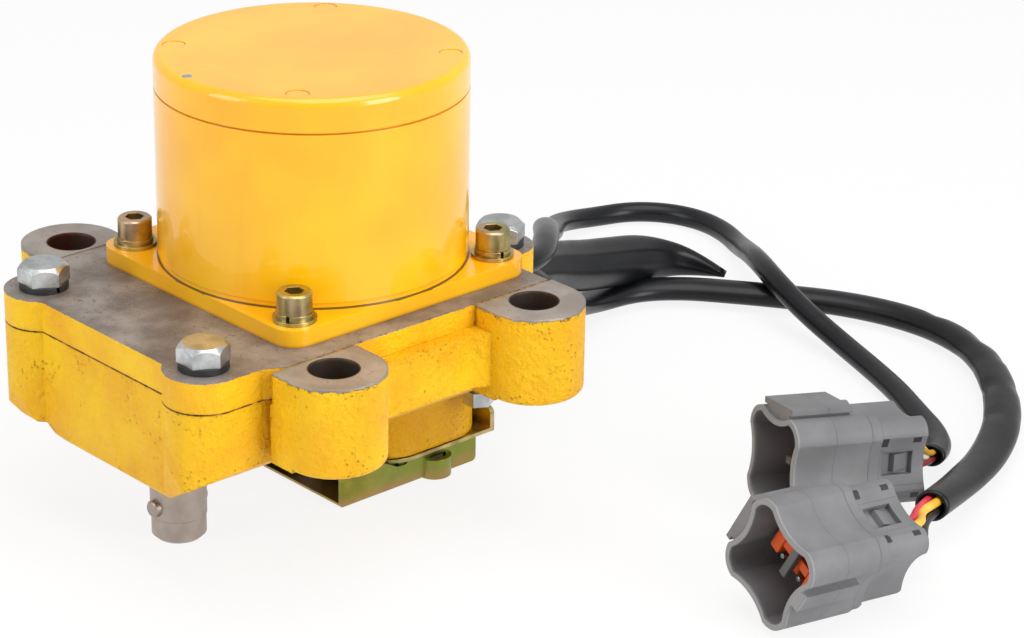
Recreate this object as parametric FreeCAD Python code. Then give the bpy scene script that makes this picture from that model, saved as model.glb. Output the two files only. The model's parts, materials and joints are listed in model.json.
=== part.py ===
"""Throttle motor of an engine governor: a geared actuator with a position sensor.

Millimetres, +Z up. The origin is the centre of the four ear holes, on the machined top of the ears.
The motor stands on the cover at +Z, the output shaft points down at -Y, the sensor sits at +Y.
Everything stands on the level FLOOR, where the shaft end, the guard and the two plugs rest.
"""
import os
import FreeCAD, Part
from math import acos, cos, hypot, pi, radians, sin, sqrt, tan

from FreeCAD import Placement, Rotation, Vector

# Fits and clearances
RUN_FIT = 0.05          # radial clearance of a part that turns
SLIP_FIT = 0.10         # radial clearance of a part that only passes through
GEAR_SIDE_GAP = 0.5     # axial gap beside a turning gear

# Ears that carry the unit
EAR_SPACING_X = 122.0
EAR_SPACING_Y = 74.0
EAR_HOLE_R = 7.1
EAR_R = 14.8
EAR_H = 27.0
EAR_TOE_R = 2.0         # rounding under an ear
EAR_SLOT = 0.7          # slot between an ear and the edge of the cover

# Cover plate and joint
COVER_T = 9.0
COVER_HALF_W = 52.0
COVER_NOSE_HALF_W = 48.8
COVER_NOSE_Y = -46.0    # where the nose widens into the main part
COVER_FRONT_Y = -70.4
COVER_BACK_Y = 50.8
GASKET_T = 0.6
JOINT_Z = -COVER_T - GASKET_T

# Cover bolts
FRONT_BOLT_X = 37.4
FRONT_BOLT_Y = -63.2
REAR_BOLT_X = 22.3
REAR_BOLT_Y = 59.0
FRONT_LUG_R = 11.5
REAR_LUG_R = 10.0
REAR_LUG_H = 24.0
BOLT_R = 4.0
BOLT_HEAD_AF = 13.0
BOLT_HEAD_H = 5.5
BOLT_LEN = 25.0
SPRING_WASHER_R = 7.1
SPRING_WASHER_T = 2.0

# Gear housing
WALL = 5.0
SIDE_X = 57.0           # outer side wall between the ears
SIDE_RIM_Z = -6.5
SIDE_LOW_Z = -23.0
BELLY_Z = -41.5
BELLY_HALF_W = 28.0
REAR_WALL_Y = 51.8
FRONT_WALL_Y = COVER_FRONT_Y
FRONT_TOE_R = 7.0       # rounding under the front wall
CAVITY_FLOOR_Z = BELLY_Z + WALL

# Sensor boss below the belly
BOSS_HALF_W = 20.0
BOSS_FRONT_Y = 14.8
BOSS_BACK_Y = 58.0
BOSS_CORNER_R = 13.0
BOSS_Z = -61.0

# Floor that the unit rests on
FLOOR = -70.5

# Axes
MOTOR_Y = 5.8
WHEEL_MODULE = 1.0
PINION_TEETH = 12
WHEEL_TEETH = 36
SECTOR_TEETH = 42       # of the full circle
SECTOR_SHOWN = 12       # teeth that the sector carries
IDLER_TEETH = 24
SENSOR_TEETH = 16
ADDENDUM = 0.8
DEDENDUM = 1.2
BACKLASH = 0.25
PRESSURE_ANGLE = radians(20)
WHEEL_Y = MOTOR_Y - WHEEL_MODULE * (PINION_TEETH + WHEEL_TEETH) / 2
SHAFT_Y = WHEEL_Y - WHEEL_MODULE * (PINION_TEETH + SECTOR_TEETH) / 2
IDLER_Y = MOTOR_Y + WHEEL_MODULE * (PINION_TEETH + IDLER_TEETH) / 2
SENSOR_Y = IDLER_Y + WHEEL_MODULE * (PINION_TEETH + SENSOR_TEETH) / 2

# Gear layers
UPPER_TOP = -12.0
UPPER_FACE = 6.0
LOWER_TOP = -22.0
LOWER_FACE = 8.0

# Output shaft
SHAFT_R = 8.25
SHAFT_NECK_R = 6.0
SHAFT_CHAMFER = 1.2
SHAFT_SEAT_R = 8.0      # turned seat for the lever's hub, below the cross pin
SHAFT_SEAT_H = 7.0
CROSS_PIN_R = 2.5
CROSS_PIN_UP = 10.7     # above the shaft end
CROSS_PIN_OUT = 1.55    # stands out of the shaft at the front
BUSH_WALL = 2.2
SEAL_R = 13.0
SEAL_H = 5.0
SECTOR_HUB_R = 13.0

# Axles of the two compound gears
AXLE_R = 3.5
AXLE_BOSS_R = 7.5

# Motor flange
CAN_R = 45.2
FLANGE_W = 2 * (CAN_R - 0.2)
FLANGE_T = 5.1
FLANGE_CORNER_R = 7.0
SPIGOT_R = CAN_R - 0.2
SPIGOT_Z = 6.76
FLANGE_SCREW_OUT = CAN_R - 8.3
FLANGE_SCREW_R = 3.0
FLANGE_HEAD_R = 5.0
FLANGE_HEAD_H = 6.0
FLANGE_SCREW_LEN = 14.0
HEX_SOCKET_AF = 5.0
FLAT_WASHER_R = 6.3
FLAT_WASHER_T = 1.1
LOCK_WASHER_R = 5.3
LOCK_WASHER_T = 1.5
PILOT_R = 12.5
PILOT_DEPTH = 5.0

# Motor
CAN_WALL = 2.6
LID_Z = 57.0
LID_TOP = 66.6
LID_EDGE_R = 2.4
LID_TOP_T = 4.0
LID_SEAM = 0.5
LID_SCREW_OUT = CAN_R - 5.7
LID_SCREW_R = 3.3
LID_LUG_R = 4.6
MOTOR_SHAFT_R = 4.0
MOTOR_NOSE_R = 3.0
BEARING_R = 11.0
BEARING_W = 7.0
STATOR_Z = (16.0, 42.0)
STATOR_YOKE = 5.0
POLES = 8
POLE_W = 9.0
COIL_T = 2.2
AIR_GAP = 0.8
ROTOR_R = 22.0
MAGNET_T = 3.0

# Position sensor
SENSOR_R = 12.0
SENSOR_H = 16.0
SENSOR_SHAFT_R = 3.0
SENSOR_NECK_R = 4.8

# Sensor plate and guard
PLATE_T = 1.2
PLATE_BACK_Y = 59.9
LIP_H = 6.5
SHEET_T = 1.6
GUARD_HALF_W = 19.0
GUARD_FRONT_Y = 0.3
GUARD_BACK_Y = 53.3
GUARD_NOSE_TOP = -60.6
RELIEF_R = 5.2
RELIEF_OUT = 3.7
RELIEF_TOP = -64.2
TAB_W = 13.0
GUARD_SCREW_X = 13.0
GUARD_SCREW_YS = (27.0, 49.5)
GUARD_SCREW_R = 2.0
GUARD_HEAD_R = 3.5
GUARD_HEAD_H = 2.4

# Plug screw in the underside
DRAIN_X = 28.0
DRAIN_Y = 46.0
DRAIN_R = 3.0
DRAIN_HEAD_AF = 8.0
DRAIN_HEAD_H = 4.5

# Cable exits in the rear wall
GLAND_X = 6.15
GLAND_Z = -18.0
GLAND_R = 5.4
GLAND_COLLAR_R = 6.0
GLAND_OUT = 11.0
MOTOR_CABLE_R = 4.75
SENSOR_CABLE_R = 3.0
WIRE_R = 0.95

# Cable routes from the gland to the plug, chosen along the floor
MOTOR_ROUTE = [
    (-6.15, 79, -18), (-8, 95, -27), (-14.5, 111, -39), (-24, 127, -51.5), (-33.5, 143, -61),
    (-40, 160, -65.7), (-38.5, 177, -65.7), (-29, 191, -65.7), (-15, 202, -65.7), (0, 213, -65.7),
    (16, 223, -65.7), (34, 229.5, -65.7), (54, 231, -65.7), (75, 225, -65.7), (96, 209, -65.7),
    (114, 189, -65.7), (127, 166, -65.7), (136, 143, -63.5), (143, 124, -60.5),
]
SENSOR_ROUTE = [
    (6.15, 77, -18), (1, 94, -19), (-13, 112, -25.5), (-35, 132, -41), (-57, 153, -57),
    (-76, 174, -67.2), (-91, 189, -67.4), (-99, 203, -67.4), (-100.2, 217, -67.4),
    (-95.4, 230.1, -67.4), (-85.3, 239.8, -67.4), (-72, 244.1, -67.4), (-58.1, 242.2, -67.4),
    (-44, 235, -66.2), (-29, 224, -61.2), (-14, 213, -57.2), (3, 204, -57.4), (21, 199.5, -61.5),
    (39, 197, -65.6), (56, 192, -67.4), (73, 185, -67.4), (88, 177, -67.4), (102, 169.5, -67.4),
    (113, 160, -66), (119.5, 147.5, -62),
]

# Plugs at the cable ends
PLUG_LOBE_C = 8.2       # centre of a corner lobe
PLUG_LOBE_R = 6.8
PLUG_DIP = 2.0          # hollow between two lobes
PLUG_WALL = 1.7
PLUG_DEPTH = 21.0
PLUG_SHROUD = 25.0
PLUG_RING = 3.5
PLUG_LEN = 44.5
PLUG_BODY_SHRINK = 1.9
PLUG_PIN_R = 0.8
PLUG_PIN_LEN = 11.0
PLUG_PIN_PITCH = 4.2
PLUG_WEDGE_T = 4.0
SEAL_OUT = 1.0
MOTOR_PLUG = {"mouth": (151.9, 41.5), "yaw": 83.6, "pitch": -4.9, "roll": -62.0, "pins": 4}
SENSOR_PLUG = {"mouth": (104.7, 93.0), "yaw": 70.0, "pitch": -4.9, "roll": -8.0, "pins": 3}


def cylinder(radius, z_low, z_high, x=0.0, y=0.0):
    return Part.makeCylinder(radius, z_high - z_low, Vector(x, y, z_low))


def ring(outer, inner, z_low, z_high, x=0.0, y=0.0):
    return cylinder(outer, z_low, z_high, x, y).cut(cylinder(inner, z_low - 1, z_high + 1, x, y))


def block(x_low, x_high, y_low, y_high, z_low, z_high):
    return Part.makeBox(x_high - x_low, y_high - y_low, z_high - z_low, Vector(x_low, y_low, z_low))


def hexagon(across_flats, z_low, z_high, x=0.0, y=0.0):
    radius = across_flats / sqrt(3)
    corners = [Vector(x + radius * cos(k * pi / 3), y + radius * sin(k * pi / 3), z_low) for k in range(7)]
    return Part.Face(Part.makePolygon(corners)).extrude(Vector(0, 0, z_high - z_low))


def profile_along_y(points, y_low, y_high):
    corners = [Vector(x, y_low, z) for x, z in points + points[:1]]
    return Part.Face(Part.makePolygon(corners)).extrude(Vector(0, y_high - y_low, 0))


def profile_along_x(points, x_low, x_high):
    corners = [Vector(x_low, y, z) for y, z in points + points[:1]]
    return Part.Face(Part.makePolygon(corners)).extrude(Vector(x_high - x_low, 0, 0))


def plan_prism(points, z_low, z_high):
    corners = [Vector(x, y, z_low) for x, y in points + points[:1]]
    return Part.Face(Part.makePolygon(corners)).extrude(Vector(0, 0, z_high - z_low))


def revolved(points, x=0.0, y=0.0):
    """A ring turned about a vertical axis, from (radius, z) points."""
    corners = [Vector(radius, 0, z) for radius, z in points + points[:1]]
    solid = Part.Face(Part.makePolygon(corners)).revolve(Vector(0, 0, 0), Vector(0, 0, 1), 360)
    solid.translate(Vector(x, y, 0))
    return solid


def fused(shapes):
    whole = shapes[0].multiFuse(shapes[1:]) if len(shapes) > 1 else shapes[0]
    return whole.removeSplitter()


def fillet_where(shape, radius, chosen):
    """Round every edge that the test picks."""
    edges = [edge for edge in shape.Edges if chosen(edge)]
    return shape.makeFillet(radius, edges)


def is_upright(edge):
    ends = [vertex.Point for vertex in edge.Vertexes]
    if len(ends) != 2 or not isinstance(edge.Curve, Part.Line):
        return False
    return hypot(ends[0].x - ends[1].x, ends[0].y - ends[1].y) < 1e-6


def mirrored_in_x(shape):
    return shape.mirror(Vector(0, 0, 0), Vector(1, 0, 0))


def ear_centres():
    return [(x, y) for x in (-EAR_SPACING_X / 2, EAR_SPACING_X / 2)
            for y in (-EAR_SPACING_Y / 2, EAR_SPACING_Y / 2)]


def front_bolts():
    return [(-FRONT_BOLT_X, FRONT_BOLT_Y), (FRONT_BOLT_X, FRONT_BOLT_Y)]


def rear_bolts():
    return [(-REAR_BOLT_X, REAR_BOLT_Y), (REAR_BOLT_X, REAR_BOLT_Y)]


def cover_bolt_centres():
    return front_bolts() + rear_bolts()


def flange_screw_centres():
    return [(x, MOTOR_Y + y) for x in (-FLANGE_SCREW_OUT, FLANGE_SCREW_OUT)
            for y in (-FLANGE_SCREW_OUT, FLANGE_SCREW_OUT)]


def nose_plan(z_low, z_high, inset=0.0):
    """The narrow front of cover and housing, with a round lug about each front bolt."""
    half = COVER_NOSE_HALF_W - inset
    front = COVER_FRONT_Y + inset
    shoulder = FRONT_BOLT_Y
    points = [(-FRONT_BOLT_X, front), (FRONT_BOLT_X, front), (half, shoulder), (half, COVER_NOSE_Y),
              (-half, COVER_NOSE_Y), (-half, shoulder)]
    return plan_prism(points, z_low, z_high)


def joint_plan(z_low, z_high):
    """The outline that cover, gasket and housing joint share."""
    main = [(-COVER_NOSE_HALF_W, COVER_NOSE_Y - 6), (COVER_NOSE_HALF_W, COVER_NOSE_Y - 6),
            (COVER_HALF_W, COVER_NOSE_Y), (COVER_HALF_W, COVER_BACK_Y),
            (-COVER_HALF_W, COVER_BACK_Y), (-COVER_HALF_W, COVER_NOSE_Y)]
    shapes = [nose_plan(z_low, z_high), plan_prism(main, z_low, z_high)]
    shapes += [cylinder(FRONT_LUG_R, z_low, z_high, x, y) for x, y in front_bolts()]
    for x, y in rear_bolts():
        shapes.append(cylinder(REAR_LUG_R, z_low, z_high, x, y))
        shapes.append(block(x - REAR_LUG_R, x + REAR_LUG_R, COVER_BACK_Y - 1, y, z_low, z_high))
    return fused(shapes)


def cavity_plan(z_low, z_high):
    """The space for the gears: the joint outline less the walls and the bolt bosses."""
    half = COVER_NOSE_HALF_W - WALL
    points = [(-half, COVER_FRONT_Y + WALL), (half, COVER_FRONT_Y + WALL), (half, COVER_NOSE_Y),
              (COVER_HALF_W - WALL, COVER_NOSE_Y + 4), (COVER_HALF_W - WALL, COVER_BACK_Y - WALL + 1),
              (WALL - COVER_HALF_W, COVER_BACK_Y - WALL + 1), (WALL - COVER_HALF_W, COVER_NOSE_Y + 4),
              (-half, COVER_NOSE_Y)]
    space = fillet_where(plan_prism(points, z_low, z_high), WALL, is_upright)
    for x, y in front_bolts():
        space = space.cut(cylinder(FRONT_LUG_R, z_low - 1, z_high + 1, x, y))
    return space


def main_section(inset=0.0):
    """Elevation of the housing between the ears, seen along Y."""
    side = SIDE_X - inset
    belly = BELLY_HALF_W - inset / 2
    top = SIDE_RIM_Z if inset == 0 else JOINT_Z + 1
    low = BELLY_Z + inset
    return [(-side, top), (-side, SIDE_LOW_Z + inset / 2), (-belly, low), (belly, low),
            (side, SIDE_LOW_Z + inset / 2), (side, top)]


def nose_section(inset=0.0):
    """Elevation of the nose, seen along Y: lower on the shaft side than at its left cheek."""
    half = COVER_NOSE_HALF_W + 0.2 - inset
    drop = inset
    return [(-half, JOINT_Z + (1 if inset else 0)), (-half, -28 + drop), (-44 + inset, -34 + drop),
            (-36 + inset / 2, -37 + drop), (-28, -37.5 + drop), (-20, BELLY_Z - 0.3 + drop),
            (27, BELLY_Z - 0.5 + drop), (46 - inset, -30.5 + drop), (half, -28 + drop),
            (half, JOINT_Z + (1 if inset else 0))]


def nose_side_section():
    """Side view of the nose: front wall with its toe rounded under."""
    toe = FRONT_TOE_R
    front = FRONT_BOLT_Y - FRONT_LUG_R - 1
    low = BELLY_Z - 2
    wall = FRONT_WALL_Y - 4.3
    points = [(front, JOINT_Z), (front, low + 3 * toe),
              (wall, low + 1.9 * toe), (wall + 0.25 * toe, low + toe),
              (wall + 0.8 * toe, low + 0.35 * toe), (wall + 1.6 * toe, low), (COVER_NOSE_Y + 3, low),
              (COVER_NOSE_Y + 3, JOINT_Z)]
    return points


def housing_outside():
    nose = fused([nose_plan(BELLY_Z - 3, JOINT_Z)]
                 + [cylinder(FRONT_LUG_R, BELLY_Z - 3, JOINT_Z, x, y) for x, y in front_bolts()])
    nose = nose.common(profile_along_y(nose_section(), COVER_FRONT_Y - 20, COVER_NOSE_Y))
    nose = nose.common(profile_along_x(nose_side_section(), -SIDE_X, SIDE_X))
    main = profile_along_y(main_section(), COVER_NOSE_Y, REAR_WALL_Y)
    shapes = [nose, main]
    for x, y in rear_bolts():
        lug = cylinder(REAR_LUG_R, JOINT_Z - REAR_LUG_H, JOINT_Z, x, y)
        web = block(x - REAR_LUG_R, x + REAR_LUG_R, REAR_WALL_Y - 1, y, JOINT_Z - REAR_LUG_H, JOINT_Z)
        shapes += [lug, web]
    shapes.append(sensor_boss())
    return fused(shapes)


def boss_plan(z_low, z_high):
    box = block(-BOSS_HALF_W, BOSS_HALF_W, BOSS_FRONT_Y, BOSS_BACK_Y, z_low, z_high)
    return fillet_where(box, BOSS_CORNER_R, is_upright)


def sensor_boss():
    """Boss for the sensor, its lower edge lightly rounded, its top buried in the belly."""
    boss = boss_plan(BOSS_Z, BELLY_Z + WALL)
    return fillet_where(boss, 1.2, lambda edge: all(abs(v.Z - BOSS_Z) < 1e-6 for v in edge.Vertexes))


def ear(x, y):
    """One ear: a round post joined to the side wall, its top pad level with the cover."""
    side = 1 if x > 0 else -1
    inner = COVER_HALF_W + EAR_SLOT
    post = cylinder(EAR_R, -EAR_H, 0, x, y)
    web = block(inner - 1, abs(x), y - EAR_R, y + EAR_R, -EAR_H, 0)
    if side < 0:
        web = mirrored_in_x(web)
    post = fillet_where(post, EAR_TOE_R, lambda edge: all(abs(v.Z + EAR_H) < 1e-6 for v in edge.Vertexes))
    whole = fused([post, web])
    slot = block(inner - 3, inner, y - EAR_R - 1, y + EAR_R + 1, JOINT_Z, 1)
    return whole.cut(slot if side > 0 else mirrored_in_x(slot))


def ear_fillets():
    """Webs that ease each ear into the side wall, at the inner flanks only."""
    shapes = []
    reach = 5.0
    for x, y in ear_centres():
        side = 1 if x > 0 else -1
        inner_y = y - EAR_R if y > 0 else y + EAR_R
        step = -1 if y > 0 else 1
        points = [(side * (SIDE_X - 3), inner_y - step), (side * (abs(x) - 1), inner_y - step),
                  (side * SIDE_X, inner_y + step * reach), (side * (SIDE_X - 3), inner_y + step * reach)]
        shapes.append(plan_prism(points, SIDE_LOW_Z, SIDE_RIM_Z))
    return shapes


def cavity():
    space = cavity_plan(CAVITY_FLOOR_Z, JOINT_Z + 1)
    nose = profile_along_y(nose_section(WALL), COVER_FRONT_Y, COVER_NOSE_Y + 0.01)
    main = profile_along_y(main_section(WALL), COVER_NOSE_Y, REAR_WALL_Y)
    return space.common(fused([nose, main]))


def lower_housing():
    body = fused([housing_outside()] + [ear(x, y) for x, y in ear_centres()] + ear_fillets())
    seat = joint_plan(JOINT_Z, JOINT_Z + 20)
    body = body.cut(seat)
    body = body.cut(cavity())
    stays = [cylinder(SEAL_R + 3, CAVITY_FLOOR_Z - 1, bush_top(), 0, SHAFT_Y),
             cylinder(AXLE_BOSS_R, CAVITY_FLOOR_Z - 1, gear_boss_top(), 0, WHEEL_Y),
             cylinder(AXLE_BOSS_R, CAVITY_FLOOR_Z - 1, gear_boss_top(), 0, IDLER_Y)]
    body = fused([body] + stays)
    holes = [cylinder(EAR_HOLE_R, -EAR_H - 1, 1, x, y) for x, y in ear_centres()]
    for x, y in cover_bolt_centres():
        holes.append(cylinder(BOLT_R, SPRING_WASHER_T - BOLT_LEN - 2, JOINT_Z + 1, x, y))
    holes += [cylinder(SHAFT_R + BUSH_WALL, BELLY_Z - 3, bush_top() + 1, 0, SHAFT_Y),
              cylinder(SEAL_R, BELLY_Z - 3, seal_top(), 0, SHAFT_Y),
              cylinder(AXLE_R, axle_low(), gear_boss_top() + 1, 0, WHEEL_Y),
              cylinder(AXLE_R, axle_low(), gear_boss_top() + 1, 0, IDLER_Y),
              cylinder(SENSOR_R + SLIP_FIT, BOSS_Z - 1, sensor_top(), 0, SENSOR_Y),
              cylinder(SENSOR_NECK_R + SLIP_FIT, sensor_top() - 1, CAVITY_FLOOR_Z + 1, 0, SENSOR_Y),
              cylinder(DRAIN_R, BELLY_Z - 6, CAVITY_FLOOR_Z, DRAIN_X, DRAIN_Y)]
    for x, y in guard_screw_centres():
        holes.append(cylinder(GUARD_SCREW_R, BOSS_Z - 1, BOSS_Z + 8, x, y))
    for x in (-GLAND_X, GLAND_X):
        holes.append(gland_hole(x))
    return body.cut(holes[0].multiFuse(holes[1:]))


def bush_top():
    return LOWER_TOP - LOWER_FACE - GEAR_SIDE_GAP


def gear_boss_top():
    return LOWER_TOP - LOWER_FACE - GEAR_SIDE_GAP


def seal_top():
    return BELLY_Z + SEAL_H


def axle_low():
    return CAVITY_FLOOR_Z - 1.5


def sensor_top():
    return BOSS_Z + SENSOR_H + 0.5


def guard_screw_centres():
    return [(x, y) for x in (-GUARD_SCREW_X, GUARD_SCREW_X) for y in GUARD_SCREW_YS]


def gland_hole(x):
    return Part.makeCylinder(GLAND_R, WALL + 4, Vector(x, REAR_WALL_Y - WALL - 3, GLAND_Z), Vector(0, 1, 0))


def cover_plate():
    plate = joint_plan(-COVER_T, 0)
    holes = [cylinder(PILOT_R + SLIP_FIT, -COVER_T - 1, 1, 0, MOTOR_Y),
             cylinder(AXLE_R, -COVER_T - 1, -COVER_T + 5, 0, WHEEL_Y),
             cylinder(AXLE_R, -COVER_T - 1, -COVER_T + 5, 0, IDLER_Y),
             cylinder(SHAFT_NECK_R + BUSH_WALL, -COVER_T - 1, -COVER_T + 6, 0, SHAFT_Y)]
    for x, y in cover_bolt_centres():
        holes.append(cylinder(BOLT_R + 0.5, -COVER_T - 1, 1, x, y))
    for x, y in flange_screw_centres():
        holes.append(cylinder(FLANGE_SCREW_R, -COVER_T - 1, 1, x, y))
    plate = plate.cut(holes[0].multiFuse(holes[1:]))
    return plate


def cover_gasket():
    sheet = joint_plan(JOINT_Z, -COVER_T).cut(cavity_plan(JOINT_Z - 1, 0))
    for x, y in cover_bolt_centres():
        sheet = sheet.cut(cylinder(BOLT_R + 0.5, JOINT_Z - 1, 0, x, y))
    return sheet


def cover_bolts():
    solids = []
    for x, y in cover_bolt_centres():
        head_low = SPRING_WASHER_T
        head = hexagon(BOLT_HEAD_AF, head_low, head_low + BOLT_HEAD_H, x, y)
        cone = Part.makeCone(BOLT_HEAD_AF / 2 + 4.5, BOLT_HEAD_AF / 2 - 0.6, 5.1,
                             Vector(x, y, head_low + BOLT_HEAD_H - 5.1))
        skirt = cylinder(BOLT_HEAD_AF, head_low, head_low + BOLT_HEAD_H - 5.1, x, y)
        head = head.common(fused([cone, skirt]))
        solids.append(fused([head, cylinder(BOLT_R, head_low - BOLT_LEN, head_low, x, y)]))
    return Part.makeCompound(solids)


def split_washer(x, y, outer, inner, z_low, thickness, gap_angle):
    whole = ring(outer, inner, z_low, z_low + thickness, x, y)
    gap = block(0, outer + 1, -0.5, 0.5, z_low - 1, z_low + thickness + 1)
    gap.rotate(Vector(0, 0, 0), Vector(0, 0, 1), gap_angle)
    gap.translate(Vector(x, y, 0))
    return whole.cut(gap)


def cover_spring_washers():
    return Part.makeCompound([split_washer(x, y, SPRING_WASHER_R, BOLT_R + 0.15, 0, SPRING_WASHER_T, 70 * k)
                              for k, (x, y) in enumerate(cover_bolt_centres())])


def motor_flange():
    half = FLANGE_W / 2
    base = block(-half, half, MOTOR_Y - half, MOTOR_Y + half, 0, FLANGE_T)
    base = fillet_where(base, FLANGE_CORNER_R, is_upright)
    outline = revolved([(0, 0.1), (SPIGOT_R - 0.02, 0.1), (SPIGOT_R - 0.02, SPIGOT_Z),
                        (CAN_R - CAN_WALL, SPIGOT_Z), (CAN_R - CAN_WALL, SPIGOT_Z + 3), (0, SPIGOT_Z + 3)],
                       0, MOTOR_Y)
    pilot = cylinder(PILOT_R, -PILOT_DEPTH, 0.2, 0, MOTOR_Y)
    body = fused([base, outline, pilot])
    holes = [cylinder(BEARING_R, lower_bearing_z(), SPIGOT_Z + 4, 0, MOTOR_Y),
             cylinder(MOTOR_SHAFT_R + 1, -PILOT_DEPTH - 1, SPIGOT_Z, 0, MOTOR_Y)]
    for x, y in flange_screw_centres():
        holes.append(cylinder(FLANGE_SCREW_R + 0.4, -1, SPIGOT_Z + 4, x, y))
        holes.append(cylinder(FLAT_WASHER_R + 0.2, FLANGE_T, SPIGOT_Z + 4, x, y))
    return body.cut(holes[0].multiFuse(holes[1:]))


def lower_bearing_z():
    return SPIGOT_Z + 3 - BEARING_W


def upper_bearing_z():
    return LID_TOP - LID_TOP_T - BEARING_W - 0.5


def motor_can():
    can = ring(CAN_R, CAN_R - CAN_WALL, SPIGOT_Z, LID_Z - LID_SEAM, 0, MOTOR_Y)
    lugs = [cylinder(LID_LUG_R, LID_Z - 10, LID_Z - LID_SEAM, x, y) for x, y in lid_screw_centres()]
    inside = cylinder(CAN_R - 0.5, SPIGOT_Z, LID_Z, 0, MOTOR_Y)
    can = fused([can] + [lug.common(inside) for lug in lugs])
    for x, y in lid_screw_centres():
        can = can.cut(cylinder(1.5, LID_Z - 7, LID_Z, x, y))
    return can


def lid_screw_centres():
    angles = [pi / 4 + k * pi / 2 for k in range(4)]
    return [(LID_SCREW_OUT * cos(a), MOTOR_Y + LID_SCREW_OUT * sin(a)) for a in angles]


def motor_lid():
    disc = cylinder(CAN_R, LID_Z, LID_TOP, 0, MOTOR_Y)
    top = [edge for edge in disc.Edges if all(abs(v.Z - LID_TOP) < 1e-6 for v in edge.Vertexes)]
    disc = disc.makeFillet(LID_EDGE_R, [edge for edge in top if isinstance(edge.Curve, Part.Circle)])
    groove_fill = cylinder(CAN_R - 0.8, LID_Z - LID_SEAM, LID_Z, 0, MOTOR_Y)
    hollow = cylinder(LID_SCREW_OUT - LID_LUG_R - 1, LID_Z - 2, LID_TOP - LID_TOP_T, 0, MOTOR_Y)
    seat = cylinder(BEARING_R + 3, upper_bearing_z() + 1, LID_TOP - LID_TOP_T + 0.5, 0, MOTOR_Y)
    bore = cylinder(BEARING_R, upper_bearing_z() - 1, upper_bearing_z() + BEARING_W, 0, MOTOR_Y)
    lid = fused([fused([disc, groove_fill]).cut(hollow), seat]).cut(bore)
    for x, y in lid_screw_centres():
        lid = lid.cut(lid_screw(x, y, SLIP_FIT / 2))
    return lid


def lid_screw(x, y, grow=0.0):
    """Countersunk screw, flush with the lid and painted over."""
    top = LID_TOP - 0.15
    depth = LID_SCREW_R - 1.5
    head = Part.makeCone(1.5 + grow, LID_SCREW_R + grow, depth, Vector(x, y, top - depth))
    shank = cylinder(1.5 + (grow if grow else 0), LID_Z - 6, top - LID_SCREW_R + 1.6, x, y)
    if grow:
        mouth = cylinder(LID_SCREW_R + grow, top, LID_TOP + 1, x, y)
        return fused([head, shank, mouth])
    return fused([head, shank])


def lid_screws():
    return Part.makeCompound([lid_screw(x, y) for x, y in lid_screw_centres()])


def flange_flat_washers():
    top = FLANGE_T + FLAT_WASHER_T
    return Part.makeCompound([ring(FLAT_WASHER_R, FLANGE_SCREW_R + 0.2, FLANGE_T, top, x, y)
                              for x, y in flange_screw_centres()])


def flange_spring_washers():
    low = FLANGE_T + FLAT_WASHER_T
    inner = FLANGE_SCREW_R + 0.15
    return Part.makeCompound([split_washer(x, y, LOCK_WASHER_R, inner, low, LOCK_WASHER_T, 200 + 50 * k)
                              for k, (x, y) in enumerate(flange_screw_centres())])


def flange_screws():
    low = FLANGE_T + FLAT_WASHER_T + LOCK_WASHER_T
    solids = []
    for x, y in flange_screw_centres():
        head = cylinder(FLANGE_HEAD_R, low, low + FLANGE_HEAD_H, x, y)
        rim = [edge for edge in head.Edges if isinstance(edge.Curve, Part.Circle)
               and all(abs(v.Z - low - FLANGE_HEAD_H) < 1e-6 for v in edge.Vertexes)]
        head = head.makeChamfer(0.5, rim)
        head = head.cut(hexagon(HEX_SOCKET_AF, low + FLANGE_HEAD_H - 3.4, low + FLANGE_HEAD_H + 1, x, y))
        solids.append(fused([head, cylinder(FLANGE_SCREW_R, low - FLANGE_SCREW_LEN, low, x, y)]))
    return Part.makeCompound(solids)


def ball_bearing(z_low, y):
    """Shielded bearing as one ring, with a groove between its races on both faces."""
    inner = MOTOR_SHAFT_R + RUN_FIT
    z_high = z_low + BEARING_W
    race = (BEARING_R - inner) / 3
    points = [(inner, z_low), (inner + race, z_low), (inner + race, z_low + 0.5),
              (BEARING_R - race, z_low + 0.5), (BEARING_R - race, z_low), (BEARING_R, z_low),
              (BEARING_R, z_high), (BEARING_R - race, z_high), (BEARING_R - race, z_high - 0.5),
              (inner + race, z_high - 0.5), (inner + race, z_high), (inner, z_high)]
    return revolved(points, 0, y)


def stator_inner():
    return ROTOR_R + AIR_GAP


def stator():
    """Iron ring with poles pointing inwards, each ending in a wider shoe."""
    low, high = STATOR_Z
    outer = CAN_R - CAN_WALL
    yoke = ring(outer, outer - STATOR_YOKE, low, high, 0, MOTOR_Y)
    shoe_ring = ring(stator_inner() + 2.5, stator_inner(), low, high, 0, MOTOR_Y)
    shapes = [yoke]
    for k in range(POLES):
        pole = block(stator_inner() + 1, outer - STATOR_YOKE + 1, -POLE_W / 2, POLE_W / 2, low, high)
        shoe = block(stator_inner() - 2, stator_inner() + 3, -POLE_W / 2 - 2.5, POLE_W / 2 + 2.5, low, high)
        for shape in (pole, shoe):
            shape.rotate(Vector(0, 0, 0), Vector(0, 0, 1), 360 * k / POLES)
            shape.translate(Vector(0, MOTOR_Y, 0))
        shapes += [pole, shoe.common(shoe_ring)]
    return fused(shapes).cut(cylinder(stator_inner(), low - 1, high + 1, 0, MOTOR_Y))


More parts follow.
